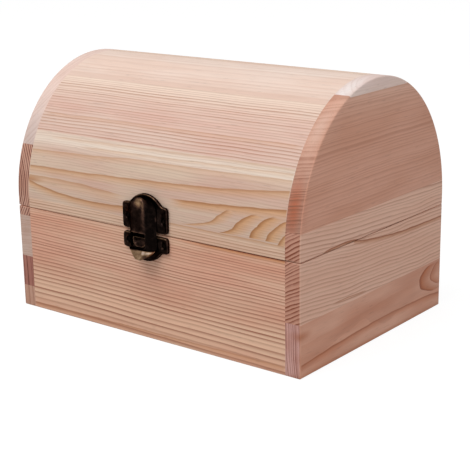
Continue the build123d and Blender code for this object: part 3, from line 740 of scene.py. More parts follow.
# The pine of each board. The values before the named ones are the material's name, the way of the fibres,
# the pith, the ring width, the colours of spring wood, summer wood and blush, and the contrast. Those of
# a ring are its points, fade, strength and soft ends
ALONG, DEEP = Grain.ALONG_THE_FRONT, Grain.FRONT_TO_BACK
PINE_OF_NODE = {
    "base_front_board": PineBoard(
        "pine_base_front", ALONG, (0, -60, -160), 1.5, "#e0ba9f", "#94523a", "#daa389", 1, uneven=0.25,
        wave=0.3, rise=0.006,
        growth=((160, -0.5), (169, 4.3), (175, 8.15), (181, 12.9), (190, 21.6), (199, 31.5)),
        lines=(BroadLine(((-54.5, 2), (0, 2.4), (54.5, 2.8)), 1.2, 0.4, (1, 1)),
               BroadLine(((8, 36.3), (54.5, 36.3)), 0.8, 0.9, (24, 0.2))),
        spots=(Spot((0, -42.5, 8), (300, 30, 11), "#efc7aa", 0.8),
               Spot((0, -42.5, 25), (300, 30, 10), "#e3b39c", 0.4))),
    **{node: PineBoard(name, ALONG, (0, 110, -40), 2.2, "#dbb29a", "#ab7254", "#d2a38b", 0.6, wave=1.4)
       for node, name in (("base_back_board", "pine_base_back"), ("lid_back_rail", "pine_back_rail"))},
    "base_bottom_panel": PineBoard(
        "pine_bottom", ALONG, (0, 30, -70), 2.6, "#dcb89e", "#b98363", "#d6aa90", 0.5, wave=1.5),
    "lid_front_rail": PineBoard(
        "pine_front_rail", ALONG, (0, -50, -160), 0.85, "#e4c6ad", "#9c6244", "#dfb89f", 1, uneven=0.3,
        wave=0.15),
    "lid_stave_1": PineBoard(
        "pine_stave_flat_sawn", ALONG, (0, -40, -120), 0.85, "#d8bfaa", "#94603f", "#d2ae9d", 0.3, uneven=0.6,
        flame="#d39a63",
        lines=(
            BroadLine(((0, 41), (20, 40.9), (54.5, 40.8)), 0.8, 0.35, (12, 0.5)),
            BroadLine(((-54.5, 46.2), (-45, 44.4), (-32, 43.1), (-18, 42.9), (-6, 43.6), (4, 43)), 1.8, 0.62,
                      (0.5, 3)),
            BroadLine(((-54.5, 48), (-40, 48.2), (-20, 47.4), (-8, 46.6)), 2.2, 0.35, (0.5, 10)),
            BroadLine(((-54.5, 51.3), (-30, 51.8), (-8, 52.6), (12, 53.5), (25, 54.1), (38, 55.2),
                       (54.5, 56.9)), 1.7, 0.5, (0.5, 0.5)),
            BroadLine(((-54.5, 56.8), (-30, 57.4), (-8, 58.6), (20, 59), (54.5, 59.9)), 1.3, 0.28,
                      (0.5, 0.5)),
            BroadLine(((-34, 59.8), (10, 60.6), (54.5, 61.6)), 0.7, 0.24, (9, 0.5)),
            BroadLine(((-50, 61.6), (0, 62.3), (54.5, 63.2)), 0.6, 0.2, (9, 0.5)),
            BroadLine(((8, 48.6), (22, 49.2), (38, 50.2), (54.5, 51.4)), 1.9, 0.68, (8, 0.5)),
            BroadLine(((41.2, 12), (42.4, 20), (44, 26), (46.5, 29.5), (49, 33)), 3.4, 0.62, (0.8, 1), True),
            *(BroadLine(points, fade, strength, (0.4, 1.2), True) for points, fade, strength in (
                (((41, 29), (42.4, 33.5), (45, 36.5), (47.2, 39.5), (49.2, 44)), 4.4, 0.74),
                (((41.2, 41.5), (43, 42), (45.2, 44), (47.5, 46.6), (49.4, 50.5)), 4.4, 0.8),
                (((41.2, 47.5), (43.5, 48.6), (45.5, 50.5), (47.5, 53), (49, 56.5)), 3.8, 0.74),
                (((40.6, 51.5), (42.5, 52.8), (44, 54.2), (46, 57)), 2.8, 0.7)))),
        spots=(Spot((-54, -42, 46.8), (9, 6, 1.6), "#a5693f", 0.7),
               Spot((0, -38, 60.8), (300, 9, 4.2), "#ead9c9", 0.9))),
    # Stave 2 is paler at its top, a painted sheen of the light from above
    "lid_stave_2": PineBoard(
        "pine_stave_fine", ALONG, (0, -110, 10), 1, "#e0c4b5", "#aa7256", "#ddb7a8", 0.9, uneven=0.3,
        wave=0.3, lines=(BroadLine(((-54.5, 68.6), (0, 68.9), (54.5, 69.2)), 0.9, 0.25, (4, 4)),),
        spots=(Spot((0, -21.5, 81.5), (300, 13.5, 12.5), "#eed8c6", 0.95),)),
    # Stave 3 is paler all over, a painted sheen of the light from above, and darker towards its foot so that
    # it meets stave 2 smoothly
    "lid_stave_3": PineBoard(
        "pine_stave_pale", ALONG, (0, -150, 40), 2.4, "#edd8cb", "#c89c84", "#e9cdbd", 0.4, uneven=0.6,
        wave=0.4, spots=(Spot((0, -23.5, 79.5), (300, 13, 6), "#ddbdac", 0.95),)),
    "lid_stave_4": PineBoard(
        "pine_stave_top", ALONG, (0, 190, 60), 1.9, "#e6cdbb", "#c39678", "#e1c3b0", 0.45, wave=0.7),
    "lid_stave_5": PineBoard(
        "pine_stave_rear", ALONG, (0, 60, -30), 2.2, "#e0c2ad", "#b98763", "#dab59c", 0.5, wave=1),
    "lid_stave_6": PineBoard(
        "pine_stave_back", ALONG, (0, 120, 40), 1.8, "#ddbba4", "#b38062", "#d6ad94", 0.5, wave=0.6),
    "base_right_strip_1": PineBoard(
        "pine_right_foot", DEEP, (140, 0, 14), 1.3, "#dead96", "#8a4a30", "#cf977e", 0.5, wave=0.45,
        end_tint=(0.89, 0.93, 1.15), flame="#b76a40",
        lines=(BroadLine(((-42.5, 4.2), (-15, 5.8), (8, 6.4), (42.5, 4.8)), 1.5, 0.55, (1, 1)),
               BroadLine(((-42.5, 10.4), (-12, 11.3), (12, 12.2), (30, 12.6)), 2.2, 0.14, (1, 12)),
               BroadLine(((6.2, 41), (7.6, 33.5), (10.5, 28.5), (13.5, 28.8), (16.8, 37)), 5, 0.85,
                         (0.8, 0.8), True),
               BroadLine(((8, 42.5), (9.5, 38.5), (12, 35.5), (14.5, 37), (16.8, 42)), 3, 0.6,
                         (0.8, 0.8), True)),
        spots=(Spot((60, -42, 13.5), (5, 7, 2.2), "#b06a44", 0.7),
               Spot((60, 0, 0), (8, 90, 2), "#b0673c", 0.8))),
    **{node: PineBoard(
        name, DEEP, (135, 0, -105), 1.08, "#e0b7a2", "#8f5438", "#dcb09a", 0.62, uneven=0.35, wave=0.4,
        wave_length=24, end_tint=(0.78, 0.63, 0.59), flame="#bf8a6c",
        sway=((-42.5, 0), (-10, 2.6), (10, 3.4), (42.5, 4.2)), lines=lines)
       for node, name, lines in (
        ("base_right_strip_2", "pine_right_base", (
            BroadLine(((-14, 36.7), (-5, 35.1), (4, 34.1), (14, 33.2), (28, 32.7), (42.5, 32.5)), 0.9, 0.95,
                      (1, 0.5)),
            BroadLine(((-26, 19.4), (-16, 19), (-5, 18.4)), 0.6, 0.5, (4, 4)))),
        ("lid_right_strip_1", "pine_right_base_upper", (
            BroadLine(((-31, 36.5), (-25, 37.3), (-17, 37.2), (-10, 36.4)), 0.9, 0.95, (2, 1)),)))},
    "lid_right_strip_2": PineBoard(
        "pine_right_dome", DEEP, (110, 0, -230), 1.1, "#d39f89", "#9c6248", "#cb957d", 0.48, uneven=0.9,
        end_tint=(0.72, 0.79, 0.82),
        spots=(Spot((56.6, -42, 53), (4.6, 9, 15), "#d2704b", 0.95),
               Spot((57, -29, 75), (4.4, 15, 15), "#d7af9c", 0.95),
               Spot((60, 4, 85), (5, 60, 14), "#dcb29e", 0.9))),
    "lid_right_strip_3": PineBoard(
        "pine_right_cap", DEEP, (100, 0, 180), 1.8, "#e2c9c1", "#bd9580", "#dfc7ba", 0.22, wave=0.4,
        end_tint=(1.12, 1.3, 1.45), end_depth=0.3,
        spots=(Spot((57, -16, 84), (4.6, 22, 9), "#f0e4e0", 0.95),)),
    "base_left_strip_1": PineBoard(
        "pine_left_foot", DEEP, (-140, 0, 0), 1.6, "#d3a690", "#9a6349", "#cd9b83", 0.45,
        end_tint=(0.85, 0.86, 0.87)),
    "base_left_strip_2": PineBoard(
        "pine_left_dark", DEEP, (-150, 0, 10), 1.3, "#cd8a77", "#82422f", "#c17a69", 0.5,
        end_tint=(0.66, 0.66, 0.68)),
    "base_left_strip_3": PineBoard(
        "pine_left_pale", DEEP, (-60, 0, 160), 1.1, "#d9bbab", "#b88f79", "#d2ae9d", 0.35,
        end_tint=(0.86, 0.88, 0.9)),
    **{node: PineBoard(
        name, DEEP, (-75, 0, 44), 0.95, "#e3b39d", "#6f3422", "#d39c85", 0.5, uneven=0.3,
        end_tint=(0.8, 0.78, 0.78), end_depth=3)
       for node, name in (("base_left_strip_4", "pine_left_ringed_lower"),
                          ("lid_left_strip_1", "pine_left_ringed"))},
    "lid_left_strip_2": PineBoard(
        "pine_left_dome", DEEP, (-130, 0, 120), 1.5, "#ecd2c7", "#b98d78", "#e4c6b9", 0.35, uneven=0.5,
        end_tint=(0.73, 0.75, 0.77), end_depth=0.7,
        spots=(Spot((-57, -36, 68), (5, 16, 18), "#ddc6bd", 0.9),)),
}


class Shell:
    """The surfaces of one metal piece while they are gathered, with how worn each point is and any painted
    light on it.
    """

    # Angles in degrees past which an edge stays sharp, and past which it is bevelled. Points nearer than
    # the last, in mm, are joined
    CREASE, BEVELLED, JOINED = 40.0, 50.0, 0.002

    def __init__(self) -> None:
        """Starts with no surface, and with no round on its sharp edges."""
        self.points: list[np.ndarray] = []
        self.faces: list[list[int]] = []
        self.wear_and_painted_light: list[np.ndarray] = []
        self.bevel = 0.0

    def patch(self, points: np.ndarray, faces: list | np.ndarray, wear_and_painted_light: float | np.ndarray = 0.0) -> None:
        """Adds points and the faces between them.

        Args:
            points: Places in mm, the last axis being x, y, z.
            faces: Point numbers of each face, counted from these points' first.
            wear_and_painted_light: How worn each point is, with any painted light and shade, in any shape
                that fits theirs.
        """
        start = sum(len(part) for part in self.points)
        self.faces.extend((np.asarray(face) + start).tolist() for face in faces)
        self.points.append(np.reshape(points, (-1, 3)))
        self.wear_and_painted_light.append(np.ravel(np.broadcast_to(wear_and_painted_light, points.shape[:-1])))

    def rows(self, rows: np.ndarray, wear_and_painted_light: float | np.ndarray = 0.0, closed: bool = True,
             caps: tuple[int, ...] = ()) -> None:
        """Adds the quads between rows of points.

        Args:
            rows: An array of rows by points by x, y, z, in mm.
            wear_and_painted_light: How worn each point is, with any painted light and shade.
            closed: Whether each row runs round and meets itself.
            caps: The rows that are closed with a face.
        """
        self.patch(rows, grid_faces(*rows.shape[:2], closed), wear_and_painted_light)
        for cap in caps:
            self.patch(rows[cap], [np.arange(rows.shape[1])])

    def finish(self, name: str) -> Piece:
        """Joins the points that meet, turns all faces outwards and makes the object.

        Args:
            name: The piece's name.

        Returns:
            The object.
        """
        piece = mesh_piece(name, np.concatenate(self.points), self.faces)
        attribute = piece.data.attributes.new("wear_and_painted_light", "FLOAT", "POINT")
        attribute.data.foreach_set("value", np.concatenate(self.wear_and_painted_light).astype(np.float32))
        joined = bmesh.new()
        joined.from_mesh(piece.data)
        bmesh.ops.remove_doubles(joined, verts=joined.verts, dist=self.JOINED * MM)
        bmesh.ops.recalc_face_normals(joined, faces=joined.faces)
        joined.to_mesh(piece.data)
        joined.free()
        piece.data.set_sharp_from_angle(angle=math.radians(self.CREASE))
        if self.bevel:
            modifier = piece.modifiers.new("eased", "BEVEL")
            modifier.width, modifier.segments = self.bevel * MM, 2
            modifier.limit_method, modifier.angle_limit = "ANGLE", math.radians(self.BEVELLED)
        return piece


def soft_loop(corners: np.ndarray, softness: float, gap: float = 0.2) -> np.ndarray:
    """Rounds the corners of a closed outline: even steps along it, then a Gaussian blur round the loop.

    Args:
        corners: The outline's corners in order.
        softness: Spread of the blur in mm; a square corner comes out with about 1.4 times this radius.
        gap: Distance between points, in mm.

    Returns:
        The points of the rounded outline.
    """
    closed = np.vstack([corners, corners[:1]])
    run = np.concatenate([[0.0], np.cumsum(np.hypot(*np.diff(closed, axis=0).T))])
    count = int(run[-1] / gap)
    even = np.arange(count) * run[-1] / count
    loop = np.interp(even, run, closed[:, 0]) + 1j * np.interp(even, run, closed[:, 1])
    waves = np.fft.fftfreq(count, run[-1] / count) * 2 * math.pi
    blurred = np.fft.ifft(np.fft.fft(loop) * np.exp(-(waves * softness) ** 2 / 2))
    return np.column_stack([blurred.real, blurred.imag])


def inset_loop(loop: np.ndarray, inset: float) -> np.ndarray:
    """Draws a loop in along its own normals.

    Args:
        loop: The loop's points in order.
        inset: How far, in mm, or out where it is below zero.

    Returns:
        The points of the new loop.
    """
    run = np.roll(loop, -1, axis=0) - np.roll(loop, 1, axis=0)
    outward = np.column_stack([run[:, 1], -run[:, 0]]) / np.hypot(*run.T)[:, None]
    return loop - inset * outward * math.copysign(1.0, loop_area(loop))


def lathe(profile: Pairs, centre: Point, axis: int, around: int = 28) -> np.ndarray:
    """Turns a profile about a line along x or y.

    Args:
        profile: Pairs of place along the line and radius, in mm.
        centre: A point on the line, in mm.
        axis: Zero for a line along x, one for a line along y.
        around: Points in each ring.

    Returns:
        Rings of points, one for each place of the profile.
    """
    along, radius = np.array(profile).T[..., None]
    turn = np.arange(around) * 2 * math.pi / around
    rings = np.zeros((len(along), around, 3)) + centre
    for place, offset in ((axis, along), (1 - axis, radius * np.cos(turn)), (2, radius * np.sin(turn))):
        rings[:, :, place] += offset
    return rings


@dataclass(frozen=True)
class PressedSheet:
    """A flat metal sheet with a rolled rim, a slightly sunk face and round dimples for its brads, in mm."""

    corners: Pairs  # Its outline in front view, as x and z
    wall: float  # The y of the wall that it lies on
    facing: int  # Minus one where it faces the front and one where it faces the back
    thickness: float  # How far its rim stands off the wall
    softness: float  # Blur of its corners, see soft_loop
    rim: float  # Radius of the rim
    sunk: float  # How far the face lies below the rim
    dimples: Pairs  # Middles of the dimples, as x and z
    dimple_radius: float = 1.05  # Their radius at the face
    dimple_depth: float = 0.4  # Their depth

    # Width of the dip from the rim to the face, and wear of the plain metal
    DIP, PLAIN = 0.45, 0.14
    # The rim's crest: its place as a share of the rim's radius, its spread, how worn it is, and the painted
    # highlight that it gets where it faces up
    CREST = (0.6, 0.22, 0.12, 0.3)
    # Rings of the rim and of the dip, and points round a dimple
    ROUND, DIPPING, AROUND = 6, 4, 24
    # Share of a dimple's radius within which a triangle of the face is left out
    INSIDE = 0.97
    # Shares of a dimple's radius and depth, with its wear
    FUNNEL = ((1.0, 0.0, 0.3), (0.94, 0.12, 0.2), (0.72, 0.85, 0.0), (0.6, 1.0, 0.0))

    def at_reach(self, flat: np.ndarray, reach: float) -> np.ndarray:
        """Stands flat x and z points off the wall by a reach."""
        return np.insert(flat, 1, self.wall + self.facing * reach, axis=1)

    def add_to(self, shell: Shell) -> None:
        """Adds the sheet's surfaces: the rim as rings that step in as they step out and then dip to the
        face, the face as triangles round the dimples, and each dimple as a short funnel.

        Args:
            shell: The piece that the sheet belongs to.
        """
        loop = soft_loop(np.array(self.corners), self.softness)
        turn, dip = quarter(self.ROUND), np.linspace(1 / self.DIPPING, 1.0, self.DIPPING)
        insets = np.concatenate([[0.0], self.rim * (1 - np.cos(turn)), self.rim + self.DIP * dip])
        reaches = np.concatenate([[0.0], self.thickness - self.rim * (1 - np.sin(turn)),
                                  self.thickness - self.sunk * smooth_step(dip, 0.0, 1.0)])
        rows = np.stack([self.at_reach(inset_loop(loop, inset), reach)
                         for inset, reach in zip(insets, reaches)])
        # The rim's crest is worn lighter all round, and gets a painted highlight where it faces up
        rise = inset_loop(loop, -1.0)[:, 1] - loop[:, 1]
        place, spread, worn, more = self.CREST
        crest = bell(insets, place * self.rim, spread)[:, None]
        shell.rows(rows, self.PLAIN + crest * (worn + more * np.maximum(rise, 0.0)), caps=(0,))
        turn = np.arange(self.AROUND) * 2 * math.pi / self.AROUND
        ring = np.column_stack([np.cos(turn), np.sin(turn)])
        flat = [inset_loop(loop, insets[-1]),
                *(middle + self.dimple_radius * ring for middle in self.dimples)]
        starts = np.cumsum([0, *map(len, flat)])
        edges = [(start + number, start + (number + 1) % len(part)) for start, part in zip(starts, flat)
                 for number in range(len(part))]
        places, _, faces, *_ = delaunay_2d_cdt([Vector(p) for p in np.vstack(flat)], edges, [], 1, 1e-6)
        places, faces = np.array([tuple(place) for place in places]), np.array(faces)
        middles = places[faces].mean(axis=1)
        keep = [np.hypot(*(middles - dimple).T) > self.INSIDE * self.dimple_radius
                for dimple in self.dimples]
        face = self.thickness - self.sunk
        shell.patch(self.at_reach(places, face), faces[np.all(keep, axis=0)], self.PLAIN)
        wear_and_painted_light = np.array(self.FUNNEL)[:, 2:]
        for middle in self.dimples:
            shell.rows(np.stack([
                self.at_reach(middle + share * self.dimple_radius * ring, face - depth * self.dimple_depth)
                for share, depth, _ in self.FUNNEL]), wear_and_painted_light, caps=(-1,))


@dataclass(frozen=True)
class LatchFlap:
    """The latch's pressed hood: an arched top over its pin, slanting sides, a window for the catch, a
    drawn-in waist and a turned-out lip, in mm. A reach is measured off the wall.
    """

    wall: float = -42.5  # The y of the front wall
    top: float = 48.85  # Height of its crown
    pin: tuple[float, float] = (2.8, 47.15)  # Reach and height of its pin
    knuckle: float = 1.7  # Radius of its round top about the pin
    reaches: tuple[float, float] = (1.3, 4.5)  # Reach of its open back and of its face
    halves: tuple[float, float] = (3.4, 5.3)  # Half its width at the face and at the open back
    sheet: float = 0.5  # Thickness of the metal
    # Half the width of the slot behind the pin, and the reach of its edge
    slot: tuple[float, float] = (2.5, 3.3)
    window: Point = (2.95, 37.2, 32.1)  # Half the window's width, its top and its foot
    window_round: float = 1.1  # Radius of the window's lower corners
    waist: Point = (31.2, 3.7, 4.9)  # Height, reach and half width of the waist
    tip: Point = (28.35, 4.85, 1.55)  # Height, reach and half width of the lip's end
    tip_round: float = 0.6  # Radius of the lip's corners
    powers: Point = (7.0, 12.0, 8.0)  # Squareness of the section at the crown, at the slot and below

    # Height where the crown's rows become level. Points across a side, the face beside the window and the
    # window. Rows of the crown, the blend, the face, the window and its round, the foot and the lip
    LEVEL = 43.2
    COLUMNS = (11, 5, 19)
    ROWS = (16, 5, 14, 12, 7, 11, 17)
    # How far above the window's foot the waist starts to draw in, and the power by which the lip turns out
    DRAWN_ABOVE, LIP_POWER = 0.1, 1.5
    # Depth of the sheet's fold at the waist and at the lip's end, how much wider its rims are than its face
    # there, and the share of the lip past which its corners are round. Last, the bevel of its edges
    DEPTHS = (1.65, 0.5)
    SPREADS = (0.15, 0.1)
    ROUND_FROM = 0.64
    BEVEL = 0.1

    @staticmethod
    def section(wide: np.ndarray, forward: np.ndarray, halves: tuple, reaches: tuple,
                power: float) -> np.ndarray:
        """Bends the half square into the hood's level section: a superellipse of the given power whose
        width grows evenly from the face to the rims.

        Args:
            wide: Place across on the half square.
            forward: Place forward on it.
            halves: Half the width at the face and at the back.
            reaches: Reach of the back and of the face.
            power: The superellipse's power.

        Returns:
            The x and the reach of each point.
        """
        (back, front), (front_half, back_half) = reaches, halves
        size = (np.abs(wide) ** power + forward ** power) ** (1 / power)
        reach = back + (front - back) * forward / size
        half = front_half + (back_half - front_half) * (front - reach) / (front - back)
        return np.stack([wide / size * half, reach])

    @cached_property
    def half_square(self) -> tuple[np.ndarray, np.ndarray]:
        """The walk across the hood, from the left rim over the face to the right rim, on a half square.

        Returns:
            How far across and how far forward each point is, as shares.
        """
        edge = self.window[0] / self.halves[0]
        side, beside, inside = self.COLUMNS
        forward = np.linspace(0.0, 1.0, side)[:-1]
        face = np.concatenate([np.linspace(-1.0, -edge, beside)[:-1], np.linspace(-edge, edge, inside),
                               np.linspace(edge, 1.0, beside)[1:]])
        ones = np.ones(side - 1)
        wide = np.concatenate([-ones, face, ones])
        return wide, np.concatenate([forward, np.ones(len(face)), forward[::-1]])

    def crown(self) -> np.ndarray:
        """The crown is a height over its plan: it falls away from the top line as an arch across and as
        the knuckle's circle from front to back, both at once by a cubic sum.

        Returns:
            Rows of x, reach and height.
        """
        (back, front), (front_half, back_half) = self.reaches, self.halves
        plan = self.section(*self.half_square, self.halves, self.reaches, self.powers[0])
        slot = self.section(*self.half_square, self.slot[:1] * 2, (back, self.slot[1]), self.powers[1])
        share = np.sin(quarter(self.ROWS[0]))[:, None]
        x, reach = (1 - share) * slot[:, None] + share * plan[:, None]
        half = front_half + (back_half - front_half) * (front - reach) / (front - back)
        height = self.top - np.cbrt(fall(half, x) ** 3 + fall(self.knuckle, reach - self.pin[0]) ** 3)
        return np.stack([x, reach, height], axis=-1)

    def body(self) -> np.ndarray:
        """Below the crown every row is a level section whose reach and widths follow the height, drawn in
        at the waist and turned out again at the lip. Across the face, its columns draw in round the
        window's lower corners.

        Returns:
            Rows of x, reach and height.
        """
        (back, front), (front_half, back_half), (wide, forward) = self.reaches, self.halves, self.half_square
        window_half, window_top, foot = self.window
        (waist, waist_reach, waist_half), (tip, tip_reach, tip_half) = self.waist, self.tip
        curl = foot + self.window_round * (1 - np.sin(quarter(self.ROWS[4])))
        z = np.concatenate([
            np.linspace(self.LEVEL, window_top, self.ROWS[2]),
            np.linspace(window_top, curl[0], self.ROWS[3])[1:], curl[1:],
            np.linspace(foot, waist, self.ROWS[5])[1:],
            waist + (tip - waist) * np.sin(quarter(self.ROWS[6]))[1:]])[:, None]
        drawn = 1 - smooth_step(z, waist, foot + self.DRAWN_ABOVE)
        lip = np.clip((waist - z) / (waist - tip), 0.0, 1.0)
        face = front + (waist_reach - front) * drawn + (tip_reach - waist_reach) * lip ** self.LIP_POWER
        corner = self.tip_round * np.clip((lip - self.ROUND_FROM) / (1 - self.ROUND_FROM), 0.0, 1.0)
        face_half = front_half + (waist_half - front_half) * drawn + (tip_half - waist_half) * lip
        face_half = face_half - fall(self.tip_round, corner)
        rim_half = back_half + (waist_half + self.SPREADS[0] - back_half) * drawn
        rim_half = rim_half + (face_half + self.SPREADS[1] - rim_half) * np.sqrt(lip)
        deep = ((front - back) * (1 - drawn) + self.DEPTHS[0] * drawn) * (1 - lip) + self.DEPTHS[1] * lip

        below = np.clip(foot + self.window_round - z, 0.0, self.window_round)
        squeeze = 1 - fall(self.window_round, below) * smooth_step(z, waist, foot) / window_half
        edge = window_half / front_half
        outside = edge * squeeze + (1 - edge * squeeze) * (np.abs(wide) - edge) / (1 - edge)
        warped = np.where(np.abs(wide) <= edge + 1e-6, np.abs(wide) * squeeze, outside)
        warped = np.where(forward == 1.0, np.sign(wide) * warped, wide)
        x, reach = self.section(warped, forward, (face_half, rim_half), (face - deep, face), self.powers[2])
        return np.stack([x, reach, z * np.ones_like(x)], axis=-1)

    def worn_and_painted_light(self, grid: np.ndarray) -> np.ndarray:
        """How worn the hood is, with painted light and shade in the same values. The crown and the lip are
        worn most; the lip is darker towards its right, a painted shade, and lightest at its upper right, a
        painted highlight; the face is lighter than the sides, which stay as dark as untouched metal, a
        painted light and shade; a painted highlight runs down the face's right edge and along the window's
        top, and a painted glint sits on the right rim. Each term is a strength and the place and the spread
        of what it lightens.

        Args:
            grid: The surface as x, reach and height.

        Returns:
            How worn each point is, with the painted light and shade.
        """
        x, reach, z = np.moveaxis(grid, -1, 0)
        crown = 0.76 * bell(x, 0.9, 2.1) * bell(z, 47.2, 2.0) * smooth_step(reach, 2.4, 3.6)
        # Painted highlight on the lip's upper right, where it faces up to the light
        lip_painted_highlight = smooth_step(x, 0.6, 1.6) * smooth_step(z - 0.25 * x, 28.9, 29.9)
        # The lip is worn lighter, and darker towards its right, a painted shade
        lip = 0.78 - 0.3 * smooth_step(x, 0.8, 2.0) + 0.55 * lip_painted_highlight
        lip = lip * (1 - smooth_step(z - 0.05 * x, 30.8, 31.4))
        # Painted light and shade: the face is lighter than the sides, which stay as dark as untouched metal
        face = 0.16 * smooth_step(reach, 4.1, 4.5)
        # Painted highlight down the face's right edge
        edge = 0.42 * bell(x, 2.5, 0.7) * bell(reach, 4.4, 0.35) * smooth_step(z, 36.0, 46.0)
        # Painted highlight along the window's top edge
        above = 0.3 * bell(z, self.window[1], 0.4) * smooth_step(reach, 4.0, 4.4)
        # Painted glint on the right rim
        rim = 0.5 * bell(x, 5.25, 0.16) * bell(z, 41.6, 0.9)
        return np.maximum.reduce([crown, lip, edge + face, above + face, rim])

    def add_to(self, shell: Shell) -> None:
        """Adds the flap: the outer surface, the same drawn in by the sheet, and bands round all its edges.

        Args:
            shell: The piece being gathered.
        """
        crown, body = self.crown(), self.body()
        shares = np.linspace(0.0, 1.0, self.ROWS[1] + 2)[1:-1, None, None]
        grid = np.concatenate([crown, (1 - shares) * crown[-1] + shares * body[0], body])
        top = sum(self.ROWS[:3]) - 1
        foot = top + self.ROWS[3] + self.ROWS[4] - 2
        left = sum(self.COLUMNS[:2]) - 2
        right = left + self.COLUMNS[2] - 1
        outer = grid * (1.0, -1.0, 1.0) + (0.0, self.wall, 0.0)
        down, over = np.gradient(outer, axis=0), np.gradient(outer, axis=1)
        normal = np.cross(over, down)
        normal /= np.linalg.norm(normal, axis=-1, keepdims=True)
        normal *= np.sign(-normal[len(grid) // 2, grid.shape[1] // 2, 1])
        inner = outer - self.sheet * normal
        quads = grid_faces(*grid.shape[:2], False)
        row, column = np.divmod(np.arange(len(quads)), grid.shape[1] - 1)
        kept = (row < top) | (row >= foot) | (column < left) | (column >= right)
        wear_and_painted_light = self.worn_and_painted_light(grid)
        shell.bevel = self.BEVEL
        shell.patch(outer, quads[kept], wear_and_painted_light)
        shell.patch(inner, quads[kept])
        every, tall, broad = slice(None), slice(top, foot + 1), slice(left, right + 1)
        for rim in ((0, every), (-1, every), (every, 0), (every, -1),
                    (top, broad), (foot, broad), (tall, left), (tall, right)):
            shell.rows(np.stack([outer[rim], inner[rim]]), np.stack([wear_and_painted_light[rim], 0 * wear_and_painted_light[rim]]), closed=False)


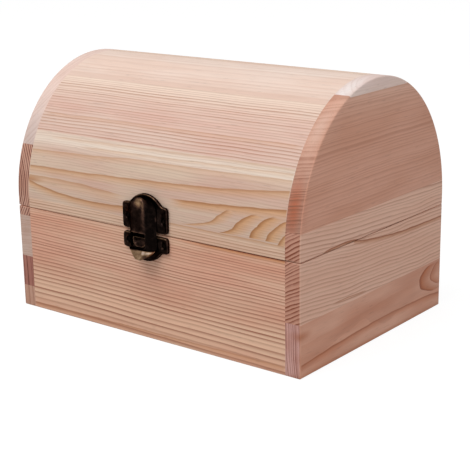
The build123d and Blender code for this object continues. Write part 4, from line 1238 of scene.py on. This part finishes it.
@dataclass(frozen=True)
class Latch:
    """The latch: two pressed plates, the catch nose, the flap on its pin, and four brads, in mm."""

    flap: LatchFlap = LatchFlap()  # The flap
    wall: float = -42.5  # The y of the front wall
    ear: float = 9.5  # Reach of the ears from the middle
    upper: Point = (37.05, 45.75, 49.35)  # Foot, ear top and crown of the upper plate
    lower: Point = (35.8, 30.5, 26.9)  # Top, ear foot and crown of the lower plate
    arch: float = 7.856  # Radius of both crowns
    upper_shift: float = 0.4  # How far the upper crown stands to the right, as in the photograph
    thickness: float = 1.0  # How far the plates stand off the wall
    brads: Point = (7.55, 41.25, 33.1)  # Reach of the brads from the middle, and their heights
    nose: Point = (2.9, 32.2, 35.7)  # Half width, foot and top of the catch nose
    # Radius of a lug's round end, and how far its two foot corners are below the pin
    lug: Point = (0.8, 3.2, 2.0)

    # Half the nose's outline as shares of its half width and heights over its foot; then the size and the
    # reach of its rings, which shrink towards its middle, out to a round rim and into a dish
    NOSE_OUTLINE = ((0.45, 0.0), (0.86, 0.8), (1.0, 1.8))
    NOSE_RINGS = ((1.06, 0.5), (1.02, 1.2), (1.0, 3.3), (0.975, 3.65), (0.93, 3.82), (0.88, 3.85),
                  (0.83, 3.82), *((size, 3.8) for size in (0.77, 0.7, 0.6, 0.4, 0.2, 0.0)))
    # Blur of its corners, and wear of its plain metal, how much more its rim has, and the ring where that
    # is, with its spread
    NOSE_SOFTNESS = 0.4
    NOSE_WEAR = (0.22, 0.3, 4.5, 2.2)
    # Depth of the dish, how far from the nose's foot and top it sets in and is full, and the sizes of the
    # rings between which it ends
    DISH, DISH_EDGE, DISH_SIZES = 1.35, 0.3, (0.68, 0.85)
    # Reach of a lug's foot corners off the wall, the x of its two sides, and where its round end starts
    # and stops, in half turns
    LUG_FOOT, LUG_SIDES, LUG_TURN = 0.6, (0.5, 1.3), (-0.75, 0.95)
    # Points of a crown's arch and of a lug's round end
    CROWN_POINTS, LUG_POINTS = 41, 18
    # Place along the line and radius of a brad, from the wall inwards, and of the pin
    BRAD = ((3.6, 0.0), (3.6, 0.4), (-0.5, 0.4), (-0.5, 0.66), (-0.62, 0.7), (-0.72, 0.6), (-0.79, 0.35),
            (-0.8, 0.0))
    PIN = ((-3.45, 0.0), (-3.4, 0.3), (-3.25, 0.42), (-3.1, 0.4), (3.1, 0.4), (3.25, 0.42), (3.4, 0.3),
           (3.45, 0.0))

    def add_plate(self, shell: Shell, plate: Point, brad: float) -> None:
        """Adds a plate with its square side at one height and its arched crown at another.

        Args:
            shell: The piece being gathered.
            plate: Heights of the straight side, of the ears' end and of the crown.
            brad: Height of the brads.
        """
        square, ear_end, crown = plate
        way = 1 if crown > square else -1
        start = math.asin((self.arch - abs(crown - ear_end)) / self.arch)
        turn = np.linspace(start, math.pi - start, self.CROWN_POINTS)
        arch = zip(self.arch * np.cos(turn) + (self.upper_shift if way > 0 else 0.0),
                   crown - way * self.arch * (1 - np.sin(turn)))
        corners = ((-self.ear, square), (self.ear, square), (self.ear, ear_end), *arch, (-self.ear, ear_end))
        PressedSheet(corners, self.wall, facing=-1, thickness=self.thickness, softness=0.85, rim=0.34,
                     sunk=0.14, dimples=((-self.brads[0], brad), (self.brads[0], brad))).add_to(shell)

    def add_nose(self, shell: Shell) -> None:
        """Adds the catch nose, whose dish is deep at the top and runs out at the foot, so that its floor
        faces up.

        Args:
            shell: The piece being gathered.
        """
        half, foot, top = self.nose
        right = [(share * half, foot + up) for share, up in self.NOSE_OUTLINE] + [(half, top)]
        left = [(-x, z) for x, z in right[::-1]]
        loop = soft_loop(np.array([left[-1], *right, *left[:-1]]), self.NOSE_SOFTNESS)
        middle = np.array([0.0, (foot + top) / 2])
        scales, out = np.array(self.NOSE_RINGS).T[..., None]
        flat = middle + scales[..., None] * (loop - middle)
        high = smooth_step(flat[..., 1], foot + self.DISH_EDGE, top - self.DISH_EDGE)
        reach = out - self.DISH * high * (1 - smooth_step(scales, *self.DISH_SIZES))
        rows = np.stack([flat[..., 0], self.wall - reach, flat[..., 1]], axis=-1)
        worn, more, ring, spread = self.NOSE_WEAR
        worn = worn + more * bell(np.arange(len(rows)), ring, spread)
        shell.rows(rows, worn[:, None], caps=(0,))

    def add_lug(self, shell: Shell, side: int) -> None:
        """Adds one of the two lugs that hold the pin: a flat tongue with a round end, inside the hood.

        Args:
            shell: The piece being gathered.
            side: Minus one for the left lug and one for the right.
        """
        (reach, height), (radius, low, high) = self.flap.pin, self.lug
        turn = np.linspace(*self.LUG_TURN, self.LUG_POINTS) * math.pi
        round_end = np.column_stack([reach + radius * np.cos(turn), height + radius * np.sin(turn)])
        outline = np.vstack([[(self.LUG_FOOT, height - low)], round_end, [(self.LUG_FOOT, height - high)]])
        outline = outline * (-1.0, 1.0) + (self.wall, 0.0)
        shell.rows(carried(outline, *(side * x for x in self.LUG_SIDES)), caps=(0, 1))

    def add_to(self, shells: dict[str, Shell]) -> None:
        """Adds the latch's surfaces.

        Args:
            shells: The pieces being gathered, by the name of the CAD node that each stands for.
        """
        heights = {"upper": self.brads[1], "lower": self.brads[2]}
        for name, height in heights.items():
            self.add_plate(shells[f"latch_{name}_plate"], getattr(self, name), height)
        self.add_nose(shells["latch_lower_plate"])
        for side in (-1, 1):
            self.add_lug(shells["latch_upper_plate"], side)
        for name, height in heights.items():
            for side in (-1, 1):
                brad = lathe(self.BRAD, (side * self.brads[0], self.wall, height), 1)
                shells[f"latch_{name}_brads"].rows(brad)
        reach, height = self.flap.pin
        shells["latch_pin"].rows(lathe(self.PIN, (0.0, self.wall - reach, height), 0))
        self.flap.add_to(shells["latch_flap"])


@dataclass(frozen=True)
class ButtHinge:
    """A small butt hinge: two leaves with knuckles in turn about a pin, and domed brads, in mm."""

    centre: float  # The x of its middle
    wall: float = 42.5  # The y of the back wall
    seam: float = 36.425  # Height of its pin
    width: float = 16.0  # Length of the barrel
    leaf: float = 8.0  # Height of a leaf from the pin
    sheet: float = 0.7  # Thickness of the leaves
    axis: float = 1.5  # Distance of the pin's line from the wall
    knuckles: int = 5  # Number of knuckles
    # Half the spacing of a leaf's brads, and their distance from the pin
    brads: tuple[float, float] = (4.8, 5.0)

    # How far from the pin the flat of a leaf starts, how much its corners are cut, how far the webs that
    # carry the knuckles reach from the pin, and the gap between knuckles
    NEAR, CUT, WEB, KNUCKLE_GAP = 1.4, 1.1, 1.6, 0.15
    # Half the profile of a knuckle and of the pin, from the end, and a brad's from the leaf's face with
    # its wear
    KNUCKLE = ((0.0, 0.66), (0.0, 1.14), (0.04, 1.22), (0.12, 1.25))
    PIN = ((0.0, 0.0), (0.03, 0.3), (0.15, 0.5), (0.35, 0.6))
    BRAD = ((-4.2, 0.0, 0.0), (-4.2, 0.4, 0.0), (0.0, 0.4, 0.0), (0.0, 0.88, 0.1), (0.1, 0.9, 0.2),
            (0.22, 0.75, 0.35), (0.31, 0.45, 0.5), (0.35, 0.0, 0.5))
    PIN_WEAR = 0.3

    @property
    def ends(self) -> tuple[float, float]:
        """The x of the barrel's two ends."""
        return self.centre - self.width / 2, self.centre + self.width / 2

    def turned(self, half_profile: Pairs, start: float, end: float) -> np.ndarray:
        """Turns a knuckle or the pin, alike at both ends.

        Args:
            half_profile: Its profile from one end inwards.
            start: The x of its left end.
            end: The x of its right end.

        Returns:
            Its rings of points.
        """
        profile = [(start + x, radius) for x, radius in half_profile]
        profile += [(end - x, radius) for x, radius in half_profile[::-1]]
        return lathe(profile, (0.0, self.wall + self.axis, self.seam), 0)

    def add_leaf(self, shell: Shell, way: int) -> None:
        """Adds a leaf with its knuckles.

        Args:
            shell: The piece being gathered.
            way: Minus one for the base's leaf and one for the lid's.
        """
        near, far = self.seam + way * self.NEAR, self.seam + way * self.leaf
        (left, right), cut, side_end = self.ends, self.CUT, far - way * self.CUT
        corners = ((left, near), (right, near), (right, side_end), (right - cut, far), (left + cut, far),
                   (left, side_end))
        height = self.seam + way * self.brads[1]
        dimples = tuple((self.centre + side * self.brads[0], height) for side in (-1, 1))
        PressedSheet(corners, self.wall, facing=1, thickness=self.sheet, softness=0.16, rim=0.15, sunk=0.0,
                     dimples=dimples, dimple_radius=0.6, dimple_depth=0.3).add_to(shell)
        length = self.width / self.knuckles
        web = SQUARE * (self.sheet, way * self.WEB) + (self.wall, self.seam)
        for number in range(0 if way < 0 else 1, self.knuckles, 2):
            start = left + number * length + self.KNUCKLE_GAP / 2
            end = start + length - self.KNUCKLE_GAP
            rings = self.turned(self.KNUCKLE, start, end)
            shell.rows(np.concatenate([rings, rings[:1]]))
            shell.rows(carried(web, start, end), caps=(0, 1))

    def add_to(self, shells: dict[str, Shell], side: str) -> None:
        """Adds the hinge's surfaces.

        Args:
            shells: The pieces being gathered, by the name of the CAD node that each stands for.
            side: The side of the box that the hinge is on.
        """
        profile, wear_and_painted_light = np.array(self.BRAD)[:, :2] + (self.sheet, 0.0), np.array(self.BRAD)[:, 2:]
        for owner, way in (("base", -1), ("lid", 1)):
            self.add_leaf(shells[f"{side}_hinge_{owner}_leaf"], way)
            for offset in (-self.brads[0], self.brads[0]):
                centre = (self.centre + offset, self.wall, self.seam + way * self.brads[1])
                shells[f"{owner}_hinge_brads"].rows(lathe(profile, centre, 1), wear_and_painted_light)
        shells[f"{side}_hinge_pin"].rows(self.turned(self.PIN, *self.ends), self.PIN_WEAR)


@dataclass(frozen=True)
class MetalWork:
    """The latch and the hinges, in blackened brass plating."""

    finish: AntiqueBronze  # The metal's finish
    latch: Latch  # The latch
    hinges: dict[str, ButtHinge]  # The hinges, by the side that they are on

    @staticmethod
    def body_of(node: str) -> str:
        """The body that a CAD node moves with."""
        on_base = "base" in node or "lower" in node or node.endswith("hinge_pin")
        return "flap" if node == "latch_flap" else "base" if on_base else "lid"

    def build(self) -> None:
        """Makes the pieces, dresses them and hangs each on its body."""
        shells = defaultdict(Shell)
        self.latch.add_to(shells)
        for side, hinge in self.hinges.items():
            hinge.add_to(shells, side)
        material = self.finish.make()
        for node, shell in shells.items():
            dress(shell.finish(node), "metal", node, self.body_of(node), material)


@dataclass(frozen=True)
class Studio:
    """The plain pale floor, the soft lights and the camera. Places and sizes are in mm."""

    camera_place: Point = (257.66, -324.48, 144.19)  # Where the camera stands
    target: Point = (2.511, 0.0, 25.887)  # What it looks at
    roll: float = -0.01476  # How far it is turned about its own line, in radians
    lens: float = 94.52  # Focal length on a 36 mm wide sensor
    sky: float = 0.65  # Strength of the light from all round
    # Name, place, size and power in watts of the large soft light above and in front, and of the one at the
    # right
    lamps: tuple[tuple[str, Point, float, float], ...] = (
        ("key", (-120.0, -420.0, 760.0), 520.0, 3.9), ("fill", (700.0, -150.0, 260.0), 420.0, 0.65))
    lamp_target: Point = (0.0, 0.0, 40.0)  # What both look at
    floor_half: float = 4000.0  # Half the floor's width
    # Colour of the floor where the camera sees it and as the box reflects and is lit by it
    floor_tones: tuple[Point, Point] = ((0.9, 0.9, 0.9), (0.55, 0.54, 0.53))
    # Share and strength of the glow that makes the floor white to the camera
    floor_glow: tuple[float, float] = (0.8, 1.12)

    # Width of the camera's sensor in mm, and where it starts to see, in metres
    SENSOR, NEAREST = 36.0, 0.01

    @staticmethod
    def aim(thing: Piece, place: Point, target: Point, roll: float = 0.0) -> None:
        """Stands a camera or a lamp at a place so that it looks at another.

        Args:
            thing: The camera or the lamp.
            place: Where it stands.
            target: What it looks at.
            roll: How far it is turned about its own line, in radians.
        """
        here, there = Vector(place) * MM, Vector(target) * MM
        turn = (there - here).to_track_quat("-Z", "Y").to_matrix().to_4x4()
        thing.matrix_world = Matrix.Translation(here) @ turn @ Matrix.Rotation(roll, 4, "Z")

    def place_camera(self) -> None:
        """Stands the camera where the photograph was taken from."""
        data = bpy.data.cameras.new("camera")
        data.lens, data.sensor_width, data.clip_start = self.lens, self.SENSOR, self.NEAREST
        camera = add_object("camera", data)
        self.aim(camera, self.camera_place, self.target, self.roll)
        bpy.context.scene.camera = camera

    def light(self) -> None:
        """Lights the box from all round, from above in front and a little from the right."""
        recipe = Recipe(bpy.data.worlds.new("studio"))
        bpy.context.scene.world = recipe.owner
        path = recipe.add("LightPath").node.outputs
        seen = recipe.add("Math MAXIMUM", path["Is Camera Ray"], path["Is Transmission Ray"])
        strength = recipe.add("Mix", seen, A_Float=self.sky, B_Float=1)
        recipe.add("OutputWorld", recipe.add("Background", None, strength))
        for name, place, size, power in self.lamps:
            data = bpy.data.lights.new(name, "AREA")
            data.shape, data.size, data.energy = "SQUARE", size * MM, power
            self.aim(add_object(name, data), place, self.lamp_target)

    def floor(self) -> None:
        """Lays the pale floor, which the camera sees as white with the box's own soft shadow."""
        corners = self.floor_half * np.insert(SQUARE * 2 - 1, 2, 0.0, axis=1)
        floor = mesh_piece("floor", corners, [(0, 1, 2, 3)])
        recipe = Recipe(bpy.data.materials.new("pale_floor"))
        add = recipe.add
        path = add("LightPath").node.outputs
        seen = add("Math MAXIMUM", path["Is Camera Ray"], path["Is Glossy Ray"])
        seen = add("Math MAXIMUM", seen, path["Is Transmission Ray"])
        share, strength = self.floor_glow
        lit, plain = (add("BsdfDiffuse", (*tone, 1)) for tone in self.floor_tones)
        white = add("MixShader", share, lit, add("Emission", (1, 1, 1, 1), strength))
        add("OutputMaterial", add("MixShader", seen, plain, white))
        floor.data.materials.append(recipe.owner)

    def build(self) -> None:
        """Sets the whole studio up."""
        bpy.context.scene.view_settings.view_transform = "Standard"
        self.place_camera()
        self.light()
        self.floor()


# Distance of each hinge from the middle of the back, in mm
HINGE_PLACE = 31.8


def main() -> None:
    """Builds the studio, the woodwork and the metalwork in turn."""
    logging.basicConfig(level=logging.INFO, format="%(name)s: %(message)s")
    Studio().build()
    Woodwork.from_frame().build(PINE_OF_NODE)
    hinges = {side: ButtHinge(way * HINGE_PLACE) for side, way in (("left", -1), ("right", 1))}
    MetalWork(AntiqueBronze("antique_bronze"), Latch(), hinges).build()


if __name__ == "__main__":
    main()
